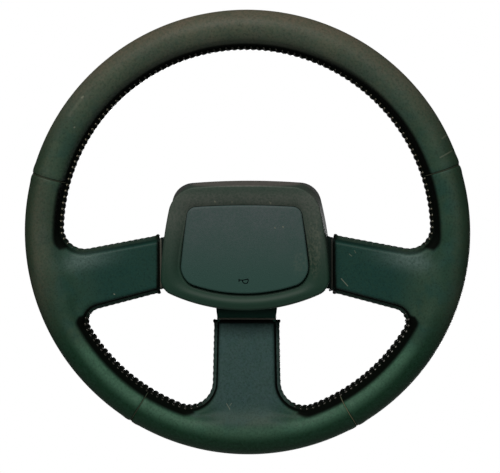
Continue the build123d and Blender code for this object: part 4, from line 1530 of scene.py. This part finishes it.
class Signal:
    """A number that flows through a material, with the usual arithmetic."""

    def __init__(self, shader: "Shader", socket: bpy.types.NodeSocket) -> None:
        """Wraps a socket.

        Args:
            shader: the material it flows in.
            socket: the output socket that it comes from.
        """
        self.shader = shader
        self.socket = socket

    def apply(
        self, operation: str, *others: "Signal | float", first: "Signal | float | None" = None
    ) -> "Signal":
        """A Math node on this signal.

        Args:
            operation: the node's operation.
            others: what follows this signal.
            first: what comes before it, for a reflected form.

        Returns:
            The result.
        """
        inputs = ([] if first is None else [first]) + [self] + list(others)
        sockets = {index: value for index, value in enumerate(inputs)}
        return self.shader.node("ShaderNodeMath", {"operation": operation}, sockets)

    def __add__(self, other: "Signal | float") -> "Signal":
        """Sum. Args: other: the second term. Returns: the sum."""
        return self.apply("ADD", other)

    __radd__ = __add__

    def __sub__(self, other: "Signal | float") -> "Signal":
        """Difference. Args: other: what is taken away. Returns: the difference."""
        return self.apply("SUBTRACT", other)

    def __rsub__(self, other: "Signal | float") -> "Signal":
        """Reflected difference. Args: other: what this is taken from. Returns: the difference."""
        return self.apply("SUBTRACT", first=other)

    def __mul__(self, other: "Signal | float") -> "Signal":
        """Product. Args: other: the second factor. Returns: the product."""
        return self.apply("MULTIPLY", other)

    __rmul__ = __mul__

    def __truediv__(self, other: "Signal | float") -> "Signal":
        """Quotient. Args: other: the divisor. Returns: the quotient."""
        return self.apply("DIVIDE", other)

    def absolute(self) -> "Signal":
        """Size without sign.

        Returns:
            The absolute value.
        """
        return self.apply("ABSOLUTE")

    def step(self, low: float, high: float) -> "Signal":
        """A soft step from 0 to 1.

        Args:
            low: where the step starts.
            high: where it ends.

        Returns:
            The step.
        """
        settings = {"interpolation_type": "SMOOTHSTEP"}
        sockets = {"Value": self, "From Min": low, "From Max": high}
        return self.shader.node("ShaderNodeMapRange", settings, sockets)


class Shader:
    """One material and the nodes that paint it."""

    def __init__(self, name: str) -> None:
        """Starts a material with a plain surface.

        Args:
            name: the material's name.
        """
        self.material = bpy.data.materials.new(name)
        self.material.use_nodes = True
        self.tree = self.material.node_tree
        self.surface = self.tree.nodes["Principled BSDF"]

    def node(self, kind: str, settings: dict, sockets: dict, output: int | str = 0) -> Signal:
        """Adds a node.

        Args:
            kind: the node's type.
            settings: its own settings.
            sockets: values or signals for its inputs, by name or number.
            output: which of its outputs to take.

        Returns:
            That output.
        """
        made = self.tree.nodes.new(kind)
        for name, value in settings.items():
            setattr(made, name, value)
        for name, value in sockets.items():
            self.feed(made.inputs[name], value)
        return Signal(self, made.outputs[output])

    def feed(self, socket: bpy.types.NodeSocket, value: "Signal | float | tuple") -> None:
        """Sets or links an input.

        Args:
            socket: the input.
            value: a signal to link, or a value to set.
        """
        if isinstance(value, Signal):
            self.tree.links.new(value.socket, socket)
        else:
            socket.default_value = value

    def place(self) -> Signal:
        """The point's place in the row frame.

        Returns:
            Object coordinates, in metres.
        """
        return self.node("ShaderNodeTexCoord", {}, {}, "Object")

    def plan(self) -> Signal:
        """The point's place in plan.

        Returns:
            Object coordinates with Y at 0, in metres.
        """
        return self.vector("MULTIPLY", self.place(), (1, 0, 1))

    def axis(self, name: str) -> Signal:
        """One coordinate of the point's place.

        Args:
            name: X, Y or Z.

        Returns:
            The coordinate in millimetres.
        """
        return self.node("ShaderNodeSeparateXYZ", {}, {0: self.place()}, name) / MILLIMETRE

    def value(self, name: str) -> Signal:
        """A named value of the piece.

        Args:
            name: the attribute's name.

        Returns:
            The value.
        """
        return self.node("ShaderNodeAttribute", {"attribute_name": name}, {}, "Fac")

    def noise(self, size: float, detail: float) -> Signal:
        """Soft noise.

        Args:
            size: the size of its features in millimetres.
            detail: how many finer layers it has.

        Returns:
            Noise from 0 to 1.
        """
        sockets = {"Vector": self.place(), "Scale": 1 / (size * MILLIMETRE), "Detail": detail}
        return self.node("ShaderNodeTexNoise", {}, sockets)

    def cells(self, size: float) -> Signal:
        """The distance to the nearest of scattered points.

        Args:
            size: the points' spacing in millimetres.

        Returns:
            The distance, in spacings.
        """
        sockets = {"Vector": self.place(), "Scale": 1 / (size * MILLIMETRE)}
        return self.node("ShaderNodeTexVoronoi", {"feature": "F1"}, sockets)

    def mix(self, share: Signal | float, first: Signal | tuple, second: Signal | tuple) -> Signal:
        """A mix of two colours.

        Args:
            share: how much of the second.
            first: the first colour.
            second: the second colour.

        Returns:
            The mixed colour.
        """
        made = self.tree.nodes.new("ShaderNodeMix")
        made.data_type = "RGBA"
        self.feed(made.inputs[0], share)
        self.feed(made.inputs[6], first if isinstance(first, Signal) else (*first, 1))
        self.feed(made.inputs[7], second if isinstance(second, Signal) else (*second, 1))
        return Signal(self, made.outputs[2])

    def mark(self, mark: "Mark") -> Signal:
        """A thin stroke seen from the front, by the distance from its line in plan.

        Args:
            mark: the stroke.

        Returns:
            How much of it covers the point.
        """
        start = Vector((mark.start[0], 0, mark.start[1])) * MILLIMETRE
        run = Vector((mark.end[0], 0, mark.end[1])) * MILLIMETRE - start
        offset = self.vector("SUBTRACT", self.plan(), tuple(start))
        share = self.vector("DOT_PRODUCT", offset, tuple(run / run.length_squared), output="Value")
        inside = share.apply("MAXIMUM", 0.0).apply("MINIMUM", 1.0)
        nearest = self.node("ShaderNodeVectorMath", {"operation": "SCALE"}, {0: tuple(run), "Scale": inside})
        apart = self.vector("DISTANCE", offset, nearest, output="Value") / MILLIMETRE
        return (1 - apart.step(mark.width * 0.3, mark.width)) * mark.strength

    def patch(self, patch: "Patch") -> Signal:
        """A soft oval seen from the front.

        Args:
            patch: the oval.

        Returns:
            How much of it covers the point.
        """
        x = (self.axis("X") - patch.centre[0]) / patch.half_size[0]
        z = (self.axis("Z") - patch.centre[1]) / patch.half_size[1]
        return (1 - (x * x + z * z).step(0.2, 1.0)) * patch.strength

    def vector(
        self, operation: str, first: Signal | tuple, second: Signal | tuple, output: int | str = 0
    ) -> Signal:
        """A Vector Math node.

        Args:
            operation: the node's operation.
            first: its first vector.
            second: its second vector.
            output: which of its outputs to take.

        Returns:
            That output.
        """
        return self.node("ShaderNodeVectorMath", {"operation": operation}, {0: first, 1: second}, output)

    def grain(self, size: float, fine_size: float, share: float, depth: float) -> Signal:
        """A normal that follows a grain of cells and finer noise.

        Args:
            size: the cells' spacing in millimetres.
            fine_size: the noise's size in millimetres.
            share: how much of the height comes from the cells.
            depth: what a height of 1 stands for, in millimetres.

        Returns:
            The normal.
        """
        height = self.cells(size) * share + self.noise(fine_size, 2) * (1 - share)
        return self.node("ShaderNodeBump", {}, {"Height": height, "Distance": depth * MILLIMETRE})

    def finish(self, **inputs: Signal | float | tuple) -> bpy.types.Material:
        """Sets the surface.

        Args:
            inputs: values or signals by the surface's input names, with spaces as underscores.

        Returns:
            The material.
        """
        for name, value in inputs.items():
            self.feed(self.surface.inputs[name.replace("_", " ")], value)
        return self.material


@dataclass(frozen=True)
class Mark:
    """A thin pale stroke: its ends in plan, its width and how pale it is."""

    start: tuple[float, float]
    end: tuple[float, float]
    width: float
    strength: float


@dataclass(frozen=True)
class Patch:
    """A dusty oval: its centre and half sizes in plan and how dusty it is."""

    centre: tuple[float, float]
    half_size: tuple[float, float]
    strength: float


LEATHER_MARKS = (
    Mark((81.4, -37.7), (86.9, -43.9), 0.45, 0.45),
    Mark((88.2, -16.6), (90.2, -18.2), 0.5, 0.25),
    Mark((92.5, -13.5), (93.6, -15.5), 0.5, 0.2),
    Mark((-113.3, -50.4), (-112.8, -50.8), 0.7, 0.5),
    Mark((-16.8, -144.6), (-13.9, -149.3), 0.4, 0.4),
    Mark((-12.6, -144.2), (-14.0, -146.2), 0.4, 0.3),
    Mark((-146.9, 102.5), (-136.8, 116.4), 2.0, 0.08),
    Mark((-136.4, 117.0), (-135.2, 118.0), 1.1, 0.3),
    Mark((-143.2, 92.0), (-142.8, 92.4), 0.8, 0.35),
    Mark((162.8, 65.4), (173.1, 70.9), 0.8, 0.16),
    Mark((164.7, 81.2), (168.6, 83.8), 1.0, 0.14),
)


@dataclass(frozen=True)
class LeatherFinish:
    """Worn leather: greenish grey, with painted highlights, shade and reflections, browner at the top in part
    as painted light, and black beside the lips as painted shade and unworn leather.
    """

    name: str = "leather"
    worn: Colour = (0.030, 0.054, 0.036)
    dark: Colour = (0.012, 0.036, 0.024)
    teal: Colour = (0.010, 0.040, 0.036)
    brown: Colour = (0.075, 0.064, 0.047)
    low: Colour = (0.003, 0.018, 0.008)
    crest: Colour = (0.037, 0.092, 0.059)
    spoke: Colour = (0.006, 0.029, 0.025)
    slate: Colour = (0.030, 0.056, 0.060)
    sheen: Colour = (0.062, 0.098, 0.090)
    black: Colour = (0.0012, 0.002, 0.0014)
    pale: Colour = (0.22, 0.22, 0.17)

    def material(self) -> bpy.types.Material:
        """The leather's material.

        Returns:
            The material.
        """
        shader = Shader(self.name)
        rubbed = shader.mix(shader.noise(45, 4).step(0.3, 0.72), self.worn, self.dark)
        clouded = shader.mix(shader.noise(12, 2).step(0.42, 0.66) * 0.45, rubbed, self.teal)
        radius = shader.vector("LENGTH", shader.plan(), (0, 0, 0), output="Value") / MILLIMETRE
        across = shader.axis("X")
        height = shader.axis("Z")
        # Brown towards the top, round the outer rim and on the left: the leather's own brown tone, lighter at
        # the top and left as painted light.
        top = height.step(40.0, 190.0) * 0.52
        outer = radius.step(170.0, 190.0)
        cloud = 0.55 + shader.noise(16, 2) * 0.9
        browned_and_lit = shader.mix((top + outer * 0.4) * cloud, clouded, self.brown)
        left = 1 - across.step(-178.0, -150.0)
        middle = height.step(-100.0, -60.0) * (1 - height.step(30.0, 80.0))
        browned_and_lit = shader.mix(left * middle * 0.42, browned_and_lit, self.brown)
        # Painted highlight along the low crest of the rim's lower half, weaker at the bottom middle.
        crest = radius.step(160.0, 166.0) * (1 - height.step(-102.0, -84.0))
        aside = 0.5 + across.absolute().step(20.0, 60.0) * 0.4
        crested = shader.mix(crest * aside, browned_and_lit, self.crest)
        # Painted shade: darker on the lower outer rim, and along the outer edge at the sides.
        flank = radius.step(167.0, 177.5) * (1 - height.step(-110.0, -20.0))
        below = shader.mix(flank * 0.97, crested, self.low)
        beside = height.step(-60.0, -20.0) * (1 - height.step(60.0, 120.0))
        below = shader.mix(radius.step(177.0, 185.0) * beside * 0.6, below, self.low)
        # Painted reflection: bluish grey on the face of the bottom spoke.
        bottom = (1 - across.absolute().step(22.0, 40.0)) * (1 - radius.step(140.0, 172.0))
        slated = shader.mix(bottom * (1 - height.step(-80.0, -66.0)) * 0.75, below, self.slate)
        spokes = shader.mix(shader.value("spoke") * 0.9, slated, self.spoke)
        # Painted highlight: pale sheen in the hollows where the side spokes run into the rim, and on the
        # lower spoke lips.
        hollows = shader.mix(shader.value("sheen") * 0.9, spokes, self.sheen)
        unworn = shader.value("unworn")
        mottled = shader.mix(shader.noise(2.2, 3).step(0.35, 0.7) * 0.35, hollows, self.dark)
        speckled = shader.mix(shader.noise(1.5, 2).step(0.45, 0.75) * 0.3, mottled, self.black)
        # Black beside the lips and at the spoke ends: painted shade in the flanks, corners and gaps, and
        # unworn black leather.
        colour = shader.mix(unworn, speckled, self.black)
        front = shader.value("front")
        for mark in LEATHER_MARKS:
            colour = shader.mix(shader.mark(mark) * front, colour, self.pale)
        roughness = 0.46 + shader.noise(30, 3) * 0.16 + unworn * 0.2
        return shader.finish(
            Base_Color=colour,
            Roughness=roughness,
            Normal=shader.grain(1.1, 0.7, 0.6, 0.1),
            Specular_IOR_Level=0.03,
            Coat_Weight=0.08 - unworn * 0.08,
            Coat_Roughness=0.46,
        )


@dataclass(frozen=True)
class ThreadFinish:
    """Black thread or leather roll, pale where its value says: painted glints on the lacing, painted light on
    the welts, rubbed wear on the cross seams.
    """

    name: str = "thread"
    black: Colour = (0.004, 0.005, 0.0045)
    pale: Colour = (0.42, 0.38, 0.27)
    roughness: float = 0.3
    specular: float = 0.5

    def material(self) -> bpy.types.Material:
        """The thread's material.

        Returns:
            The material.
        """
        shader = Shader(self.name)
        colour = shader.mix(shader.value("rubbed"), self.black, self.pale)
        return shader.finish(Base_Color=colour, Roughness=self.roughness, Specular_IOR_Level=self.specular)


@dataclass(frozen=True)
class PlainFinish:
    """A plain moulded or metal surface with a fine grain."""

    name: str
    colour: Colour
    roughness: float
    metallic: float = 0.0
    grain: float = 0.0
    grain_depth: float = 0.05
    specular: float = 0.5

    def material(self) -> bpy.types.Material:
        """The finish's material.

        Returns:
            The material.
        """
        shader = Shader(self.name)
        shader.finish(Base_Color=(*self.colour, 1), Roughness=self.roughness, Metallic=self.metallic)
        shader.finish(Specular_IOR_Level=self.specular)
        if self.grain:
            shader.finish(Normal=shader.grain(self.grain, self.grain * 0.6, 0.5, self.grain_depth))
        return shader.material


@dataclass(frozen=True)
class FoamFinish:
    """Moulded black foam skin, with the bottom neck painted lighter and greener as painted light."""

    name: str = "foam"
    upper: Colour = (0.0015, 0.005, 0.004)
    lower: Colour = (0.008, 0.034, 0.024)

    def material(self) -> bpy.types.Material:
        """The foam's material.

        Returns:
            The material.
        """
        shader = Shader(self.name)
        # Painted light: the bottom neck lighter and greener than the black side necks.
        return shader.finish(
            Base_Color=shader.mix(shader.axis("Z").step(-75.0, -60.0), self.lower, self.upper),
            Roughness=0.7,
            Normal=shader.grain(1.4, 0.8, 0.5, 0.05),
            Specular_IOR_Level=0.06,
        )


@dataclass(frozen=True)
class PadFinish:
    """Soft moulding with a fine grain, dull clouds, pale specks and dust, darker towards the bottom as
    painted shade, with painted light and settled dust on the top face.
    """

    name: str
    upper: Colour
    lower: Colour
    roughness: float
    grain: float
    grain_depth: float
    marks: tuple[Mark, ...]
    dust: Patch
    pale: Colour = (0.14, 0.14, 0.105)
    lit_top_and_dust: Colour = (0.091, 0.083, 0.078)

    def material(self) -> bpy.types.Material:
        """The moulding's material.

        Returns:
            The material.
        """
        shader = Shader(self.name)
        height = shader.axis("Z")
        cloud = 0.6 + shader.noise(13, 4) * 0.8
        # Painted shade: darker towards the bottom, with a darker band just below the top edge.
        colour = shader.mix(height.step(-45.0, 40.0) * cloud, self.lower, self.upper)
        colour = shader.mix(height.step(33.0, 40.0) * 0.45, colour, self.lower)
        # Painted light on the top face, with settled dust.
        colour = shader.mix(height.step(41.8, 43.2), colour, self.lit_top_and_dust)
        dusty = shader.patch(self.dust) * shader.noise(2.2, 3).step(0.4, 0.62)
        colour = shader.mix(dusty, colour, self.pale)
        for mark in self.marks:
            colour = shader.mix(shader.mark(mark), colour, self.pale)
        colour = shader.mix(shader.noise(1.8, 3).step(0.35, 0.7) * 0.4, colour, self.lower)
        return shader.finish(
            Base_Color=colour,
            Roughness=self.roughness,
            Normal=shader.grain(self.grain, self.grain * 0.7, 0.6, self.grain_depth),
            Specular_IOR_Level=0.12,
        )


PAD_MARKS = (
    Mark((-24.6, 29.9), (-24.2, 28.9), 0.9, 0.7),
    Mark((-10.2, 29.8), (-10.2, 29.0), 0.7, 0.6),
    Mark((21.4, 29.0), (22.0, 28.0), 0.9, 0.6),
    Mark((-48.6, -12.0), (-48.4, -13.0), 0.6, 0.5),
    Mark((35.0, -58.0), (35.4, -59.4), 0.7, 0.6),
)
PANEL_MARKS = (
    Mark((25.6, 7.8), (26.0, 7.4), 0.6, 0.8),
    Mark((32.3, 8.6), (32.6, 8.2), 0.7, 0.9),
)
PAD_DUST = Patch((58.0, -8.0), (7.5, 32.0), 0.2)
PANEL_DUST = Patch((46.5, -22.0), (9.0, 13.0), 0.1)


class Finish(Enum):
    """The finishes of the wheel."""

    LEATHER = LeatherFinish()
    THREAD = ThreadFinish()
    SEAM_THREAD = ThreadFinish(
        "seam_thread", black=(0.012, 0.018, 0.012), pale=(0.15, 0.135, 0.085), roughness=0.7, specular=0.1
    )
    WELT = ThreadFinish(
        "welt", black=(0.003, 0.004, 0.003), pale=(0.085, 0.085, 0.068), roughness=0.6, specular=0.2
    )
    FOAM = FoamFinish()
    PAD = PadFinish(
        "pad", upper=(0.052, 0.060, 0.052), lower=(0.009, 0.027, 0.018),
        roughness=0.5, grain=0.9, grain_depth=0.06, marks=PAD_MARKS, dust=PAD_DUST,
    )
    PANEL = PadFinish(
        "panel", upper=(0.046, 0.060, 0.062), lower=(0.018, 0.046, 0.039),
        roughness=0.6, grain=1.0, grain_depth=0.12, marks=PANEL_MARKS, dust=PANEL_DUST,
    )
    SIGN = PlainFinish("sign", (0.001, 0.002, 0.002), 0.9, specular=0.0)
    MOULDED = PlainFinish("moulded", (0.012, 0.014, 0.013), 0.5, grain=1.2)
    STEEL = PlainFinish("steel", (0.45, 0.45, 0.44), 0.38, metallic=1.0)
    PRIMER = PlainFinish("primer", (0.02, 0.02, 0.02), 0.5)
    ZINC = PlainFinish("zinc", (0.55, 0.54, 0.5), 0.35, metallic=1.0)
    BRASS = PlainFinish("brass", (0.62, 0.44, 0.18), 0.35, metallic=1.0)
    WIRE = PlainFinish("wire", (0.012, 0.012, 0.012), 0.45)


CAD_FINISHES = {
    "rim_core": Finish.STEEL,
    "spoke_carrier": Finish.PRIMER,
    "hub_boss": Finish.STEEL,
    "grip_foam": Finish.FOAM,
    "pad_surround": Finish.PAD,
    "horn_button": Finish.PANEL,
    "stem_retainers": Finish.ZINC,
    "moving_contact": Finish.BRASS,
    "horn_springs": Finish.ZINC,
    "contact_base": Finish.MOULDED,
    "fixed_contact": Finish.BRASS,
    "base_screws": Finish.ZINC,
    "rear_cover": Finish.MOULDED,
    "pad_screws": Finish.ZINC,
    "slip_ring_carrier": Finish.MOULDED,
    "slip_ring": Finish.BRASS,
    "horn_lead": Finish.WIRE,
    "lead_terminals": Finish.BRASS,
}


@dataclass(frozen=True)
class Lamp:
    """A soft area light."""

    name: str
    place: Place
    size: tuple[float, float]
    power: float
    colour: Colour
    aim: Place = (0.0, -0.05, 0.0)

    def add(self) -> None:
        """Adds the lamp to the scene, turned to its aim."""
        light = bpy.data.lights.new(self.name, "AREA")
        light.shape = "RECTANGLE"
        light.size, light.size_y = self.size
        light.energy = self.power
        light.color = self.colour
        lamp = bpy.data.objects.new(self.name, light)
        lamp.location = self.place
        lamp.rotation_euler = (Vector(self.aim) - Vector(self.place)).to_track_quat("-Z", "Y").to_euler()
        bpy.context.scene.collection.objects.link(lamp)


@dataclass(frozen=True)
class Studio:
    """Floor, soft lights, pale surroundings and the camera."""

    floor_level: float = -0.65
    floor_size: float = 2.2
    ambient: float = 0.05
    lamps: tuple[Lamp, ...] = (
        Lamp("key", (-0.16, -1.25, 1.14), (1.0, 0.6), 35.0, (1.0, 0.98, 0.92)),
        Lamp("fill", (0.5, -1.9, 0.2), (0.6, 0.6), 3.0, (0.90, 1.0, 0.98)),
        Lamp("back", (0.5, 1.5, -0.4), (0.9, 0.4), 24.0, (1.0, 1.0, 1.0)),
    )

    def floor(self) -> None:
        """A pale floor below the wheel, at the height of a car's floor."""
        half = self.floor_size / 2
        mesh = bpy.data.meshes.new("floor")
        corners = [(-half, -half), (half, -half), (half, half), (-half, half)]
        mesh.from_pydata([(x, y, self.floor_level) for x, y in corners], [], [(0, 1, 2, 3)])
        mesh.materials.append(PlainFinish("floor", (0.8, 0.8, 0.8), 0.9).material())
        floor = bpy.data.objects.new("floor", mesh)
        bpy.context.scene.collection.objects.link(floor)

    def surroundings(self) -> None:
        """White for the camera, and a dim even light for everything else."""
        world = bpy.data.worlds.new("studio")
        bpy.context.scene.world = world
        world.use_nodes = True
        tree = world.node_tree
        background = tree.nodes["Background"]
        path = tree.nodes.new("ShaderNodeLightPath")
        strength = tree.nodes.new("ShaderNodeMapRange")
        strength.inputs["To Min"].default_value = self.ambient
        strength.inputs["To Max"].default_value = 1.0
        tree.links.new(path.outputs["Is Camera Ray"], strength.inputs["Value"])
        tree.links.new(strength.outputs["Result"], background.inputs["Strength"])
        background.inputs["Color"].default_value = (1, 1, 1, 1)

    def camera(self) -> None:
        """The camera, at the photograph's viewing angle."""
        yaw, rise, roll = np.radians([CAMERA_YAW, CAMERA_ELEVATION, CAMERA_ROLL])
        ahead = Vector((-np.sin(yaw) * np.cos(rise), np.cos(yaw) * np.cos(rise), -np.sin(rise)))
        right = Vector((np.cos(yaw), np.sin(yaw), 0))
        up = right.cross(ahead)
        tilted_right = right * np.cos(roll) + up * np.sin(roll)
        tilted_up = up * np.cos(roll) - right * np.sin(roll)
        place = (Vector(CAMERA_TARGET) - ahead * CAMERA_DISTANCE) * MILLIMETRE
        data = bpy.data.cameras.new("camera")
        data.lens = CAMERA_FOCAL
        data.sensor_width = CAMERA_SENSOR
        data.shift_x, data.shift_y = CAMERA_SHIFT
        camera = bpy.data.objects.new("camera", data)
        bpy.context.scene.collection.objects.link(camera)
        turn = Matrix((tilted_right, tilted_up, -ahead)).transposed().to_4x4()
        camera.matrix_world = Matrix.Translation(place) @ turn
        bpy.context.scene.camera = camera

    def build(self) -> None:
        """Sets up everything round the wheel."""
        self.floor()
        self.surroundings()
        for lamp in self.lamps:
            lamp.add()
        self.camera()
        bpy.context.scene.view_settings.view_transform = "Standard"
        log.info("studio: %d lamps", len(self.lamps))


def build_grip(materials: dict[Finish, bpy.types.Material]) -> None:
    """Leather, lips, lacing, welts and cross seams.

    Args:
        materials: the material of each finish.
    """
    for piece in LEATHER_PIECES:
        skin = piece.surface().made(f"skin_{piece.node}", materials[Finish.LEATHER], "wheel")
        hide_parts(piece.node)
    for window in WINDOWS:
        lacing = Lacing(window, *LACE_SIZES[window.name])
        lacing.lips().made(f"lips_{window.name}", materials[Finish.LEATHER], "wheel")
        laces = [lacing.thread()]
        if window.name == "lower_right":
            laces.append(LooseEnd().surface())
        thread = Surface.joined(laces).made(f"thread_{window.name}", materials[Finish.THREAD], "wheel")
        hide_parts(f"lacing_{window.name}")
    # Painted light on the welts: pale on the lit left and bottom ones, dark on the shaded right one.
    ends = [SpokeEnd(spoke, rubbed) for spoke, rubbed in zip(SPOKES, WELTS_LIT)]
    welts = Surface.joined([end.welt() for end in ends])
    welts.made("welts", materials[Finish.WELT], "wheel")
    necks = Surface.joined([end.neck() for end in ends])
    necks.made("necks", materials[Finish.FOAM], "wheel")
    seams = Surface.joined([CrossSeam(*seam).surface() for seam in zip(CROSS_SEAMS, SEAMS_RUBBED)])
    seams.made("cross_seams", materials[Finish.SEAM_THREAD], "wheel")


def build_pad(materials: dict[Finish, bpy.types.Material]) -> None:
    """Pad surround, horn panel with its sign, and springs.

    Args:
        materials: the material of each finish.
    """
    surround = PadSurround().surface().made("bolster", materials[Finish.PAD], "wheel")
    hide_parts("pad_surround")
    panel = HornPanel().surface().made("panel", materials[Finish.PANEL], "button")
    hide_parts("horn_button")
    HornSign().surface().made("horn_sign", materials[Finish.SIGN], "button")
    springs = HornSprings()
    coils = springs.surface().made("coil_springs", materials[Finish.ZINC], "wheel")
    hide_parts("horn_springs")
    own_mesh(coils)


def main() -> None:
    """Builds the wheel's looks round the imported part, and the studio."""
    logging.basicConfig(level=logging.INFO, format="%(name)s: %(message)s")
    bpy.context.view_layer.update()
    materials = {finish: finish.value.material() for finish in Finish}
    for node, finish in CAD_FINISHES.items():
        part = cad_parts[node]
        part.data.materials.clear()
        part.data.materials.append(materials[finish])
    build_grip(materials)
    build_pad(materials)
    Studio().build()


if __name__ == "__main__":
    main()
